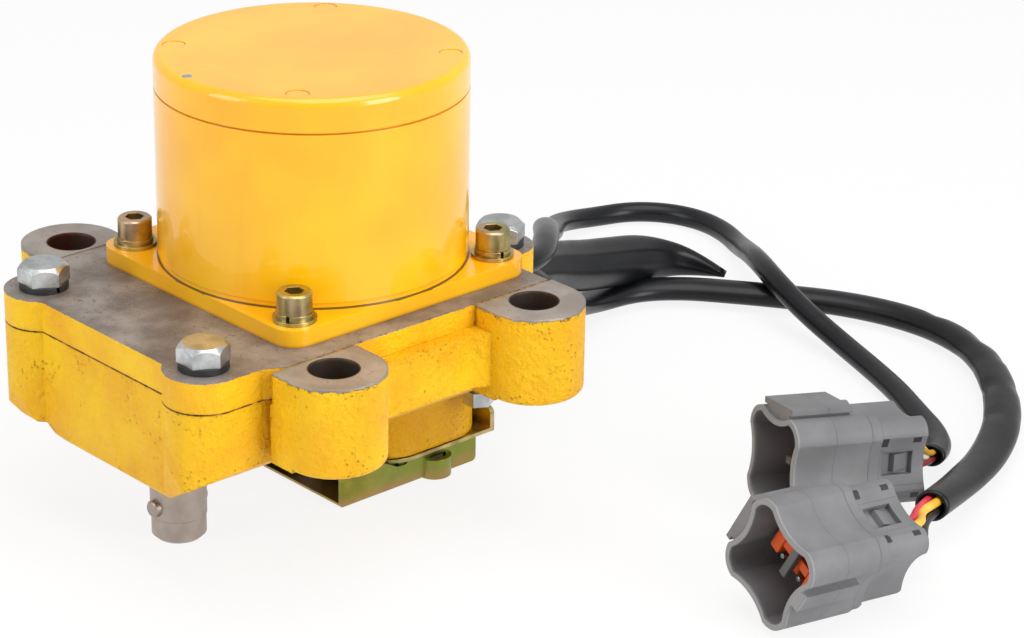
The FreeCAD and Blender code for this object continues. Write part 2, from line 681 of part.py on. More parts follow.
def windings():
    low, high = STATOR_Z
    inner = stator_inner() + 3.2
    half = POLE_W / 2 + COIL_T
    outer = sqrt((CAN_R - CAN_WALL - STATOR_YOKE) ** 2 - half ** 2) - SLIP_FIT
    coils = []
    for k in range(POLES):
        coil = block(inner, outer, -half, half, low - COIL_T, high + COIL_T)
        coil = coil.cut(block(inner - 1, outer + 1, -POLE_W / 2, POLE_W / 2, low, high))
        coil.rotate(Vector(0, 0, 0), Vector(0, 0, 1), 360 * k / POLES)
        coil.translate(Vector(0, MOTOR_Y, 0))
        coils.append(coil)
    return Part.makeCompound(coils)


def rotor_core():
    low, high = STATOR_Z
    core = ring(ROTOR_R - MAGNET_T, MOTOR_SHAFT_R, low + 1, high - 1, 0, MOTOR_Y)
    for k in range(6):
        angle = k * pi / 3
        core = core.cut(cylinder(3, low, high, 12 * cos(angle), MOTOR_Y + 12 * sin(angle)))
    return core


def rotor_magnets():
    low, high = STATOR_Z
    shell = ring(ROTOR_R, ROTOR_R - MAGNET_T, low + 1, high - 1, 0, MOTOR_Y)
    for k in range(POLES // 2):
        gap = block(-ROTOR_R - 1, ROTOR_R + 1, -0.6, 0.6, low, high)
        gap.rotate(Vector(0, 0, 0), Vector(0, 0, 1), 180 * k / (POLES // 2))
        gap.translate(Vector(0, MOTOR_Y, 0))
        shell = shell.cut(gap)
    return shell


def motor_shaft():
    nose_low = UPPER_TOP - UPPER_FACE - 1
    high = upper_bearing_z() + BEARING_W - 0.3
    step = UPPER_TOP + 0.5
    nose = cylinder(MOTOR_NOSE_R, nose_low, step, 0, MOTOR_Y)
    return fused([nose, cylinder(MOTOR_SHAFT_R, step, high, 0, MOTOR_Y)])


def involute(angle):
    return tan(angle) - angle


def flank_angle(radius, teeth):
    """Half the angle of a tooth at a radius, thinned by half the backlash."""
    pitch = WHEEL_MODULE * teeth / 2
    base = pitch * cos(PRESSURE_ANGLE)
    at_radius = acos(min(1.0, base / radius))
    half = pi / (2 * teeth) + involute(PRESSURE_ANGLE) - involute(at_radius)
    return half - BACKLASH / (4 * pitch)


def polar(radius, angle, z):
    return Vector(radius * cos(angle), radius * sin(angle), z)


def tooth_edges(teeth, centre, z, closing_to=None):
    """Edges of one tooth from its left root to its right root, then the root arc to the next tooth."""
    pitch = WHEEL_MODULE * teeth / 2
    root = pitch - DEDENDUM * WHEEL_MODULE
    tip = pitch + ADDENDUM * WHEEL_MODULE
    start = max(pitch * cos(PRESSURE_ANGLE) + 0.01, root)
    middle = (start + tip) / 2
    width = [flank_angle(radius, teeth) for radius in (start, middle, tip)]
    right = [polar(radius, centre - w, z) for radius, w in zip((start, middle, tip), width)]
    left = [polar(radius, centre + w, z) for radius, w in zip((start, middle, tip), width)]
    root_right = polar(root, centre - width[0], z)
    root_left = polar(root, centre + width[0], z)
    edges = []
    if start > root + 1e-6:
        edges.append(Part.LineSegment(root_right, right[0]).toShape())
    edges.append(Part.Arc(*right).toShape())
    edges.append(Part.Arc(right[2], polar(tip, centre, z), left[2]).toShape())
    edges.append(Part.Arc(left[2], left[1], left[0]).toShape())
    if start > root + 1e-6:
        edges.append(Part.LineSegment(left[0], root_left).toShape())
    if closing_to is not None:
        next_root = closing_to - width[0]
        middle_angle = (centre + width[0] + next_root) / 2
        edges.append(Part.Arc(root_left, polar(root, middle_angle, z), polar(root, next_root, z)).toShape())
    return edges


def spur_gear(teeth, z_top, face, y, tooth_at):
    """A full ring of teeth; one tooth is centred on the angle tooth_at (degrees)."""
    step = 2 * pi / teeth
    z_low = z_top - face
    edges = []
    for k in range(teeth):
        centre = radians(tooth_at) + k * step
        edges += tooth_edges(teeth, centre, z_low, centre + step)
    wire = Part.Wire(Part.__sortEdges__(edges))
    gear = Part.Face(wire).extrude(Vector(0, 0, face))
    gear.translate(Vector(0, y, 0))
    return gear


def motor_pinion():
    gear = spur_gear(PINION_TEETH, UPPER_TOP, UPPER_FACE, MOTOR_Y, 90)
    return gear.cut(cylinder(MOTOR_NOSE_R, UPPER_TOP - UPPER_FACE - 1, UPPER_TOP + 1, 0, MOTOR_Y))


def compound_gear(wheel_teeth, y, wheel_gap_at, pinion_tooth_at):
    """A wheel above and a pinion below on one hub, turning on a fixed axle."""
    wheel = spur_gear(wheel_teeth, UPPER_TOP, UPPER_FACE, y, wheel_gap_at + 180 / wheel_teeth)
    pinion = spur_gear(PINION_TEETH, LOWER_TOP, LOWER_FACE, y, pinion_tooth_at)
    root = WHEEL_MODULE * PINION_TEETH / 2 - DEDENDUM
    neck = cylinder(root, LOWER_TOP - 1, UPPER_TOP - UPPER_FACE + 1, 0, y)
    hub_top = cylinder(AXLE_R + 2, UPPER_TOP - 1, JOINT_Z - GEAR_SIDE_GAP, 0, y)
    body = fused([wheel, pinion, neck, hub_top])
    return body.cut(cylinder(AXLE_R - 0.7 + RUN_FIT, LOWER_TOP - LOWER_FACE - 1, 0, 0, y))


def intermediate_gear():
    return compound_gear(WHEEL_TEETH, WHEEL_Y, 90, -90)


def idler_gear():
    return compound_gear(IDLER_TEETH, IDLER_Y, -90, 90)


def axle(y):
    """Axle with a thicker seat at each end, held in the housing boss and in the cover."""
    low_seat = cylinder(AXLE_R, axle_low(), gear_boss_top(), 0, y)
    high_seat = cylinder(AXLE_R, JOINT_Z + 0.3, -COVER_T + 5, 0, y)
    return fused([low_seat, cylinder(AXLE_R - 0.7, axle_low(), -COVER_T + 4, 0, y), high_seat])


def output_sector():
    """Toothed sector on a round hub, with its bore on the output shaft."""
    z_low = LOWER_TOP - LOWER_FACE
    step = 2 * pi / SECTOR_TEETH
    first = pi / 2 - (SECTOR_SHOWN - 1) / 2 * step
    edges = []
    for k in range(SECTOR_SHOWN):
        centre = first + k * step
        edges += tooth_edges(SECTOR_TEETH, centre, z_low, centre + step if k < SECTOR_SHOWN - 1 else None)
    rim = Part.Wire(Part.__sortEdges__(edges))
    start = rim.OrderedVertexes[0].Point
    end = rim.OrderedVertexes[-1].Point
    middle = Vector(0, 0, z_low)
    sides = [Part.LineSegment(end, middle).toShape(), Part.LineSegment(middle, start).toShape()]
    outline = Part.Wire(Part.__sortEdges__(rim.OrderedEdges + sides))
    blade = Part.Face(outline).extrude(Vector(0, 0, LOWER_FACE))
    hub = cylinder(SECTOR_HUB_R, z_low, LOWER_TOP)
    whole = fused([blade, hub])
    whole.translate(Vector(0, SHAFT_Y, 0))
    return whole.cut(cylinder(SHAFT_R, z_low - 1, LOWER_TOP + 1, 0, SHAFT_Y))


def output_shaft():
    """Shaft from its chamfered end up through seal, bush and sector to a neck in the cover."""
    neck_top = -COVER_T + 5.5
    seat_top = FLOOR + SHAFT_SEAT_H
    shoulder = LOWER_TOP + GEAR_SIDE_GAP
    points = [(0, FLOOR), (SHAFT_SEAT_R - SHAFT_CHAMFER, FLOOR), (SHAFT_SEAT_R, FLOOR + SHAFT_CHAMFER),
              (SHAFT_SEAT_R, seat_top), (SHAFT_R, seat_top + SHAFT_R - SHAFT_SEAT_R), (SHAFT_R, shoulder),
              (SHAFT_NECK_R, shoulder), (SHAFT_NECK_R, neck_top), (0, neck_top)]
    shaft = revolved(points, 0, SHAFT_Y)
    return shaft.cut(cross_hole())


def cross_hole():
    length = 2 * SHAFT_R + 2
    return Part.makeCylinder(CROSS_PIN_R, length, Vector(0, SHAFT_Y - length / 2, FLOOR + CROSS_PIN_UP),
                             Vector(0, 1, 0))


def cross_pin():
    front = SHAFT_Y - SHAFT_R - CROSS_PIN_OUT
    back = SHAFT_Y + SHAFT_R + CROSS_PIN_OUT / 2
    start = Vector(0, front, FLOOR + CROSS_PIN_UP)
    pin = Part.makeCylinder(CROSS_PIN_R, back - front, start, Vector(0, 1, 0))
    return pin.makeChamfer(0.4, [edge for edge in pin.Edges if isinstance(edge.Curve, Part.Circle)])


def lower_bush():
    return ring(SHAFT_R + BUSH_WALL, SHAFT_R + RUN_FIT, seal_top(), bush_top(), 0, SHAFT_Y)


def upper_bush():
    return ring(SHAFT_NECK_R + BUSH_WALL, SHAFT_NECK_R + RUN_FIT, -COVER_T, -COVER_T + 6, 0, SHAFT_Y)


def shaft_seal():
    """Lip seal: outer case, and an inner lip thinner than the case is tall."""
    top = seal_top()
    low = BELLY_Z - 0.2
    lip = SHAFT_R + RUN_FIT
    points = [(lip, low + 1.2), (lip + 1.2, low + 0.6), (SEAL_R - 2, low + 0.6), (SEAL_R - 1.4, low),
              (SEAL_R, low), (SEAL_R, top), (lip + 2.5, top), (lip + 2.5, low + 3), (lip, low + 2.4)]
    return revolved(points, 0, SHAFT_Y)


def sensor_gear():
    gear = spur_gear(SENSOR_TEETH, LOWER_TOP, LOWER_FACE, SENSOR_Y, -90 + 180 / SENSOR_TEETH)
    return gear.cut(cylinder(SENSOR_SHAFT_R, LOWER_TOP - LOWER_FACE - 1, LOWER_TOP + 1, 0, SENSOR_Y))


def sensor_body():
    low = BOSS_Z + 0.3
    can = cylinder(SENSOR_R, low, low + SENSOR_H, 0, SENSOR_Y)
    neck = cylinder(SENSOR_NECK_R, low + SENSOR_H - 1, CAVITY_FLOOR_Z + 1, 0, SENSOR_Y)
    bore = cylinder(SENSOR_SHAFT_R + RUN_FIT, low + SENSOR_H - 6, 0, 0, SENSOR_Y)
    return fused([can, neck]).cut(bore)


def sensor_shaft():
    low = BOSS_Z + 0.3 + SENSOR_H - 6 + GEAR_SIDE_GAP
    return cylinder(SENSOR_SHAFT_R, low, LOWER_TOP + 0.4, 0, SENSOR_Y)


def sensor_plate():
    """Thin plate under the boss with a turned-up rear lip."""
    z_low = BOSS_Z - PLATE_T
    front = boss_plan(z_low, BOSS_Z)
    back = block(-BOSS_HALF_W, BOSS_HALF_W, BOSS_BACK_Y - BOSS_CORNER_R, PLATE_BACK_Y, z_low, BOSS_Z)
    lip = block(-BOSS_HALF_W, BOSS_HALF_W, PLATE_BACK_Y - SHEET_T, PLATE_BACK_Y, z_low, BOSS_Z + LIP_H)
    corners = [edge for edge in lip.Edges if edge.Vertexes[0].Z > BOSS_Z and edge.Vertexes[1].Z > BOSS_Z
               and abs(edge.Vertexes[0].Y - edge.Vertexes[1].Y) > 1]
    lip = lip.makeFillet(2.0, corners)
    plate = fused([front, back, lip])
    for x, y in guard_screw_centres():
        plate = plate.cut(cylinder(GUARD_SCREW_R + SLIP_FIT, z_low - 1, BOSS_Z + 1, x, y))
    return plate


def guard_bracket():
    """Folded channel under the sensor plate: two webs, each with a pressed half-round relief."""
    top = BOSS_Z - PLATE_T
    inner = GUARD_HALF_W - SHEET_T
    web_side = [(GUARD_FRONT_Y, FLOOR), (GUARD_BACK_Y, FLOOR), (GUARD_BACK_Y, top),
                (27.5, top), (25.0, top - 1.2),
                (22.0, top - 1.0), (17.0, GUARD_NOSE_TOP), (GUARD_FRONT_Y, GUARD_NOSE_TOP)]
    web = profile_along_x(web_side, inner, GUARD_HALF_W)
    centre_x = GUARD_HALF_W + RELIEF_OUT - RELIEF_R
    bulge = ring(RELIEF_R, RELIEF_R - SHEET_T, FLOOR, RELIEF_TOP, centre_x, SENSOR_Y)
    bulge = bulge.common(block(inner, GUARD_HALF_W + RELIEF_R, SENSOR_Y - RELIEF_R, SENSOR_Y + RELIEF_R,
                               FLOOR, RELIEF_TOP))
    hollow = cylinder(RELIEF_R - SHEET_T, FLOOR + SHEET_T, RELIEF_TOP, centre_x, SENSOR_Y)
    foot = cylinder(RELIEF_R, FLOOR, FLOOR + SHEET_T, centre_x, SENSOR_Y)
    tabs = [block(GUARD_HALF_W - TAB_W + 3, inner + 0.5, y - 3.6, y + 3.6, top - SHEET_T, top)
            for y in GUARD_SCREW_YS]
    side = fused([web.cut(hollow), bulge, foot] + tabs)
    half = fused([side, mirrored_in_x(side)])
    floor = block(-GUARD_HALF_W, GUARD_HALF_W, GUARD_FRONT_Y, GUARD_BACK_Y, FLOOR, FLOOR + SHEET_T)
    whole = fused([half, floor])
    fold = [edge for edge in whole.Edges if abs(edge.Length - (GUARD_BACK_Y - GUARD_FRONT_Y)) < 25
            and edge.Length > 20 and all(abs(v.Z - FLOOR) < 1e-6 and abs(abs(v.X) - GUARD_HALF_W) < 1e-6
                                         for v in edge.Vertexes)]
    whole = whole.makeFillet(1.4, fold) if fold else whole
    for x, y in guard_screw_centres():
        whole = whole.cut(cylinder(GUARD_SCREW_R + SLIP_FIT, top - SHEET_T - 1, top + 1, x, y))
    return whole


def guard_screws():
    head_top = BOSS_Z - PLATE_T - SHEET_T
    solids = []
    for x, y in guard_screw_centres():
        head = cylinder(GUARD_HEAD_R, head_top - GUARD_HEAD_H, head_top, x, y)
        low = [edge for edge in head.Edges if isinstance(edge.Curve, Part.Circle)
               and all(abs(v.Z - head_top + GUARD_HEAD_H) < 1e-6 for v in edge.Vertexes)]
        head = head.makeFillet(0.8, low)
        solids.append(fused([head, cylinder(GUARD_SCREW_R, head_top, BOSS_Z + 7, x, y)]))
    return Part.makeCompound(solids)


def drain_screw():
    """Plug screw in the sloping edge of the belly."""
    seat = BELLY_Z
    head = hexagon(DRAIN_HEAD_AF, seat - DRAIN_HEAD_H, seat, DRAIN_X, DRAIN_Y)
    return fused([head, cylinder(DRAIN_R, seat, CAVITY_FLOOR_Z - 0.5, DRAIN_X, DRAIN_Y)])


def gland(x, cable_r):
    """Rubber gland: a collar on the rear wall and a tapered sleeve that the cable leaves."""
    collar_y = REAR_WALL_Y
    direction = Vector(0, 1, 0)
    plug = Part.makeCylinder(GLAND_R, WALL - 1, Vector(x, collar_y - WALL + 1, GLAND_Z), direction)
    collar = Part.makeCylinder(GLAND_COLLAR_R, 2.5, Vector(x, collar_y, GLAND_Z), direction)
    start = Vector(x, collar_y + 2.5, GLAND_Z)
    sleeve = Part.makeCone(GLAND_R, cable_r + 0.6, GLAND_OUT - 2.5, start, direction)
    return fused([plug, collar, sleeve])


def rounded_path(points, name):
    """Straight runs joined by tangent arcs, each arc as large as its two runs allow."""
    edges = []
    radii = []
    start = points[0]
    for before, here, after in zip(points, points[1:], points[2:]):
        back = before - here
        ahead = after - here
        turn = pi - back.getAngle(ahead)
        reach = 0.45 * min(back.Length, ahead.Length)
        radius = reach / tan(turn / 2)
        radii.append(radius)
        back.normalize()
        ahead.normalize()
        first = here + back * reach
        last = here + ahead * reach
        inward = (back + ahead).normalize()
        middle = here + inward * (radius / cos(turn / 2) - radius)
        edges.append(Part.LineSegment(start, first).toShape())
        edges.append(Part.Arc(first, middle, last).toShape())
        start = last
    edges.append(Part.LineSegment(start, points[-1]).toShape())
    print(name, "least radius %.1f mm, length %.1f mm" % (min(radii), sum(edge.Length for edge in edges)))
    return Part.Wire(edges)


def tube_along(points, radius, name):
    path = rounded_path(points, name)
    heading = points[1] - points[0]
    circle = Part.Wire(Part.Circle(points[0], heading, radius).toShape())
    tube = path.makePipeShell([circle], True, False)
    expected = pi * radius ** 2 * path.Length
    print(name, "volume over section times length %.4f" % (tube.Volume / expected))
    return tube


def cable_points(x, route):
    exit_face = Vector(x, REAR_WALL_Y + GLAND_OUT, GLAND_Z)
    return [exit_face] + [Vector(*point) for point in route]


def motor_cable():
    return tube_along(cable_points(-GLAND_X, MOTOR_ROUTE), MOTOR_CABLE_R, "motor cable")


def sensor_cable():
    return tube_along(cable_points(GLAND_X, SENSOR_ROUTE), SENSOR_CABLE_R, "sensor cable")


def plug_section(shrink, y):
    """Four corner lobes with shallow hollows between them, square to the plug's axis."""
    lobe = PLUG_LOBE_R - shrink
    reach = PLUG_LOBE_C + lobe
    corner = PLUG_LOBE_C + lobe / sqrt(2)
    edges = []
    for k in range(4):
        quarter = [(-PLUG_LOBE_C, reach), (0, reach - PLUG_DIP), (PLUG_LOBE_C, reach), (corner, corner),
                   (reach, PLUG_LOBE_C)]
        angle = -k * pi / 2
        turned = [Vector(a * cos(angle) - b * sin(angle), y, a * sin(angle) + b * cos(angle))
                  for a, b in quarter]
        edges.append(Part.Arc(turned[0], turned[1], turned[2]).toShape())
        edges.append(Part.Arc(turned[2], turned[3], turned[4]).toShape())
    return Part.Face(Part.Wire(Part.__sortEdges__(edges)))


def plug_prism(shrink, y_low, y_high):
    return plug_section(shrink, y_low).extrude(Vector(0, y_high - y_low, 0))


def plug_pin_places(count):
    half = PLUG_PIN_PITCH
    places = [(-half, half), (half, half), (-half, -half), (half, -half)]
    if count == 3:
        places = [(-half, half), (half, half), (0, -half)]
    return places


def plug_shell(plug):
    """Shroud open at the mouth, a step ring, and a slimmer body behind it."""
    shroud = plug_prism(0, 0, PLUG_SHROUD)
    step = plug_prism(0.5, PLUG_SHROUD, PLUG_SHROUD + PLUG_RING)
    body = plug_prism(PLUG_BODY_SHRINK, PLUG_SHROUD + PLUG_RING, PLUG_LEN)
    reach = PLUG_LOBE_C + PLUG_LOBE_R
    rail = block(-7, 7, 1, PLUG_SHROUD - 4, reach - PLUG_DIP - 0.5, reach + 1.6)
    rail_cap = block(-8.5, 8.5, 1, PLUG_SHROUD - 4, reach + 0.8, reach + 2.6)
    key = block(-1.5, 4.5, 0, PLUG_SHROUD - 5, -reach - 0.6, -reach + PLUG_DIP + 0.5)
    latch_low = PLUG_LOBE_C + PLUG_LOBE_R - PLUG_BODY_SHRINK - PLUG_DIP
    shell = fused([shroud, step, body, rail, rail_cap, key])
    hollow = plug_prism(PLUG_WALL, -1, PLUG_DEPTH)
    cable_well = Part.makeCylinder(7.2, 3.5, Vector(0, PLUG_LEN - 3.5, 0), Vector(0, 1, 0))
    pocket = block(latch_low - 1.6, latch_low + 8, PLUG_SHROUD + PLUG_RING + 2, PLUG_LEN - 4, -3.5, 3.5)
    shell = shell.cut(hollow.multiFuse([cable_well, pocket]))
    ramp = profile_ramp(latch_low)
    pegs = [Part.makeCylinder(PLUG_PIN_R, PLUG_LEN, Vector(x, 1, z), Vector(0, 1, 0))
            for x, z in plug_pin_places(plug["pins"])]
    return fused([shell, ramp]).cut(pegs[0].multiFuse(pegs[1:]))


def profile_ramp(latch_low):
    """Ramp in the latch pocket that the mating lock rides over."""
    start = PLUG_SHROUD + PLUG_RING + 5
    points = [Vector(latch_low - 2, start, -2.6), Vector(latch_low + 0.2, start + 1, -2.6),
              Vector(latch_low - 1.6, start + 6, -2.6), Vector(latch_low - 2, start + 6, -2.6),
              Vector(latch_low - 2, start, -2.6)]
    return Part.Face(Part.makePolygon(points)).extrude(Vector(0, 0, 5.2))


def plug_wedge(plug):
    """Coloured lock seated on the floor of the shroud, with a raised spine between the pins."""
    y_low = PLUG_DEPTH - PLUG_WEDGE_T
    half = PLUG_PIN_PITCH + 2.6
    plate = block(-half, half, y_low, PLUG_DEPTH, -half, half)
    spine = block(-1.4, 1.4, y_low - 7, y_low, -half + 1, half - 1)
    foot = block(-half, half, y_low - 4, y_low, -1.2, 1.2)
    whole = fused([plate, spine, foot])
    grown = PLUG_PIN_R + SLIP_FIT
    for x, z in plug_pin_places(plug["pins"]):
        whole = whole.cut(Part.makeCylinder(grown, 30, Vector(x, 0, z), Vector(0, 1, 0)))
    return whole


def plug_pins(plug):
    start = PLUG_DEPTH - PLUG_PIN_LEN
    pins = [Part.makeCylinder(PLUG_PIN_R, PLUG_LEN - 8 - start, Vector(x, start, z), Vector(0, 1, 0))
            for x, z in plug_pin_places(plug["pins"])]
    return Part.makeCompound(pins)


def plug_seal(plug):
    """Rubber seal in the rear well, where the wires go in."""
    start = PLUG_LEN - 3.5
    return Part.makeCylinder(7.2, 3.5 + SEAL_OUT, Vector(0, start, 0), Vector(0, 1, 0))


def plug_placement(plug):
    """Places a plug on the floor: rolled about its axis, nose slightly up, turned by its yaw."""
    turn = (Rotation(Vector(0, 0, 1), plug["yaw"] - 90) * Rotation(Vector(1, 0, 0), plug["pitch"])
            * Rotation(Vector(0, 1, 0), plug["roll"]))
    shell = plug_shell(plug)
    shell.Placement = Placement(Vector(0, 0, 0), turn)
    low = shell.optimalBoundingBox(False).ZMin
    x, y = plug["mouth"]
    return Placement(Vector(x, y, FLOOR - low), turn)


def placed(shape, placement):
    copy = shape.copy()
    copy.Placement = placement
    return copy


def plug_wires(plug, count, route, cable_r):
    """Wires from the rear seal into the end of the cable."""
    place = plug_placement(plug)
    end = Vector(*route[-1])
    heading = (Vector(*route[-1]) - Vector(*route[-2])).normalize()
    across = heading.cross(Vector(0, 0, 1)).normalize()
    up = across.cross(heading)
    axis = place.Rotation.multVec(Vector(0, 1, 0))
    wires = []
    for k in range(count):
        angle = 2 * pi * (k + 0.5) / count
        spread = min(cable_r - WIRE_R - 0.3, 2.4)
        start = place.multVec(Vector(3.4 * cos(angle), PLUG_LEN + SEAL_OUT, 3.4 * sin(angle)))
        finish = end + across * (spread * cos(angle)) + up * (spread * sin(angle))
        gap = (finish - start).Length
        points = [start, start + axis * (0.3 * gap), finish + heading * (0.3 * gap), finish]
        wires.append(tube_along(points, WIRE_R, "wire"))
    return Part.makeCompound(wires)


def all_parts():
    parts = {
        "lower_housing": lower_housing(),
        "cover_gasket": cover_gasket(),
        "cover_plate": cover_plate(),
        "cover_spring_washers": cover_spring_washers(),
        "cover_bolts": cover_bolts(),
        "motor_flange": motor_flange(),
        "flange_flat_washers": flange_flat_washers(),
        "flange_spring_washers": flange_spring_washers(),
        "flange_screws": flange_screws(),
        "motor_can": motor_can(),
        "motor_lid": motor_lid(),
        "lid_screws": lid_screws(),
        "lower_bearing": ball_bearing(lower_bearing_z(), MOTOR_Y),
        "upper_bearing": ball_bearing(upper_bearing_z(), MOTOR_Y),
        "stator": stator(),
        "windings": windings(),
        "rotor_core": rotor_core(),
        "rotor_magnets": rotor_magnets(),
        "motor_shaft": motor_shaft(),
        "motor_pinion": motor_pinion(),
        "intermediate_gear": intermediate_gear(),
        "intermediate_axle": axle(WHEEL_Y),
        "idler_gear": idler_gear(),
        "idler_axle": axle(IDLER_Y),
        "output_sector": output_sector(),
        "output_shaft": output_shaft(),
        "cross_pin": cross_pin(),
        "lower_bush": lower_bush(),
        "upper_bush": upper_bush(),
        "shaft_seal": shaft_seal(),
        "sensor_gear": sensor_gear(),
        "sensor_shaft": sensor_shaft(),
        "sensor_body": sensor_body(),
        "sensor_plate": sensor_plate(),
        "guard_bracket": guard_bracket(),
        "guard_screws": guard_screws(),
        "drain_screw": drain_screw(),
        "motor_gland": gland(-GLAND_X, MOTOR_CABLE_R),
        "sensor_gland": gland(GLAND_X, SENSOR_CABLE_R),
        "motor_cable": motor_cable(),
        "sensor_cable": sensor_cable(),
    }
    for name, plug, route, cable_r in (("motor", MOTOR_PLUG, MOTOR_ROUTE, MOTOR_CABLE_R),
                                       ("sensor", SENSOR_PLUG, SENSOR_ROUTE, SENSOR_CABLE_R)):
        place = plug_placement(plug)
        parts[name + "_plug"] = placed(plug_shell(plug), place)
        parts[name + "_plug_wedge"] = placed(plug_wedge(plug), place)
        parts[name + "_plug_pins"] = placed(plug_pins(plug), place)
        parts[name + "_plug_seal"] = placed(plug_seal(plug), place)
        parts[name + "_wires"] = plug_wires(plug, plug["pins"], route, cable_r)
    return parts


def main():
    os.makedirs("parts", exist_ok=True)
    for name, shape in all_parts().items():
        shape.exportStep(os.path.join("parts", name + ".step"))
        print(name, len(shape.Solids), shape.isValid(), round(shape.Volume, 1))


main()
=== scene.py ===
# %% [markdown]
# # A throttle motor for an engine governor
# The object is a geared actuator: a round motor on a square flange, a cast gear housing with four ears, an
# output shaft that points down, a sensor boss with a plated guard, and two black cables that end in grey
# plugs. Its shapes come from a CAD model. This lesson loads that model as a fixed frame, sets up the camera,
# lays the cables, and then gives every piece the surface that the real one has.

# %% Load the frame
import bpy
import json
import math
from mathutils import Matrix, Vector


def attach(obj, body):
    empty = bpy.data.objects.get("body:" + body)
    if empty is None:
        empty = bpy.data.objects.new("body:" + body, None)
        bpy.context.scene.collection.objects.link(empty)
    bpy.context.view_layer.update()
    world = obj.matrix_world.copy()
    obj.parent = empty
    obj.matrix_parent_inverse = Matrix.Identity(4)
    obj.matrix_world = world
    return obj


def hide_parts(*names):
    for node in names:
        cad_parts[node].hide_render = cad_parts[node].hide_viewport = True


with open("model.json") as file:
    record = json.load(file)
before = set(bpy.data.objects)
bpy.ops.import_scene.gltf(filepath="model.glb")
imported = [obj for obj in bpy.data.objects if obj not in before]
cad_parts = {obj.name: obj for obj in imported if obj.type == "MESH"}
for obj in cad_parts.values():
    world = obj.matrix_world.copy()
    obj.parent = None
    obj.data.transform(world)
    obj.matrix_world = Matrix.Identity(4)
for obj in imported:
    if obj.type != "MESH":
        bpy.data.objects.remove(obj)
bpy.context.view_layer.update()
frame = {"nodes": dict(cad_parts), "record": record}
nodes = frame["nodes"]
MM = 0.001

# %% [markdown]
# ## The camera
# The photograph was taken from the front right, 23 degrees above the horizon, with a long lens. The camera's
# place was solved from round things whose centres are known: the rim of the can, the screw heads and the
# holes in the ears. A camera is an object whose matrix holds its own right, up and back directions in its
# columns, so those three directions and the eye point are all that it needs.

# %% Place the camera
EYE = Vector((0.68618, -0.55118, 0.35846))
LENS_RIGHT = Vector((0.6748, 0.7378, 0.0162))
LENS_UP = Vector((-0.2985, 0.2527, 0.9204))
LENS_BACK = Vector((0.6749, -0.6259, 0.3907))
camera_data = bpy.data.cameras.new("camera")
camera_data.lens = 114.61
camera_data.sensor_width = 36.0
camera_data.clip_start = 0.01
camera_data.clip_end = 50.0
camera = bpy.data.objects.new("camera", camera_data)
bpy.context.scene.collection.objects.link(camera)
turned = Matrix((LENS_RIGHT, LENS_UP, LENS_BACK)).transposed().to_4x4()
camera.matrix_world = Matrix.Translation(EYE) @ turned
bpy.context.scene.camera = camera
print("camera", round(EYE.length, 3), "m from the origin")

# %% [markdown]
# ## Shader sums
# Materials are worked out with sums such as 1 - mask. The class below wraps a socket of a node, and each
# operator adds the Math node that does it. That keeps a material readable: its lines say what is mixed, and
# the nodes follow from them.


# %% A socket that can be used in sums
class Signal:
    def __init__(self, finish, socket):
        self.finish = finish
        self.socket = socket

    def maths(self, operation, *terms):
        settings = {"operation": operation}
        return self.finish.add("ShaderNodeMath", settings, dict(enumerate(terms)))

    def __add__(self, other):
        return self.maths("ADD", self, other)

    def __sub__(self, other):
        return self.maths("SUBTRACT", self, other)

    def __mul__(self, other):
        return self.maths("MULTIPLY", self, other)

    def __rsub__(self, other):
        return self.maths("SUBTRACT", other, self)

    def __pow__(self, other):
        return self.maths("POWER", self, other)

    __radd__ = __add__
    __rmul__ = __mul__

    def higher(self, other):
        return self.maths("MAXIMUM", self, other)

    def lower(self, other):
        return self.maths("MINIMUM", self, other)

    def size(self):
        return self.maths("ABSOLUTE", self)

    def step(self, low, high):
        """0 below low, 1 above high, and smooth between them."""
        sockets = {"Value": self, "From Min": low, "From Max": high}
        return self.finish.add("ShaderNodeMapRange", {"interpolation_type": "SMOOTHSTEP"}, sockets)

    def between(self, low, high, soft):
        return self.step(low - soft, low) * (1 - self.step(high, high + soft))


# %% [markdown]
# ## One finish, one material
# A finish is a material with a few helpers: noise, cells, a colour mix, a mask along an axis. Every pattern
# reads Object coordinates. All pieces stand at the origin with their place in their mesh, so these
# coordinates are metres in the object's own frame, and one line such as z.step(a, b) finds a machined face.


# %% Colours written as on a paint chart
def paint(code):
    """A six-digit colour as linear light."""
    parts = [int(code[i:i + 2], 16) / 255 for i in (0, 2, 4)]
    line = [v / 12.92 if v <= 0.04045 else ((v + 0.055) / 1.055) ** 2.4 for v in parts]
    return (*line, 1.0)


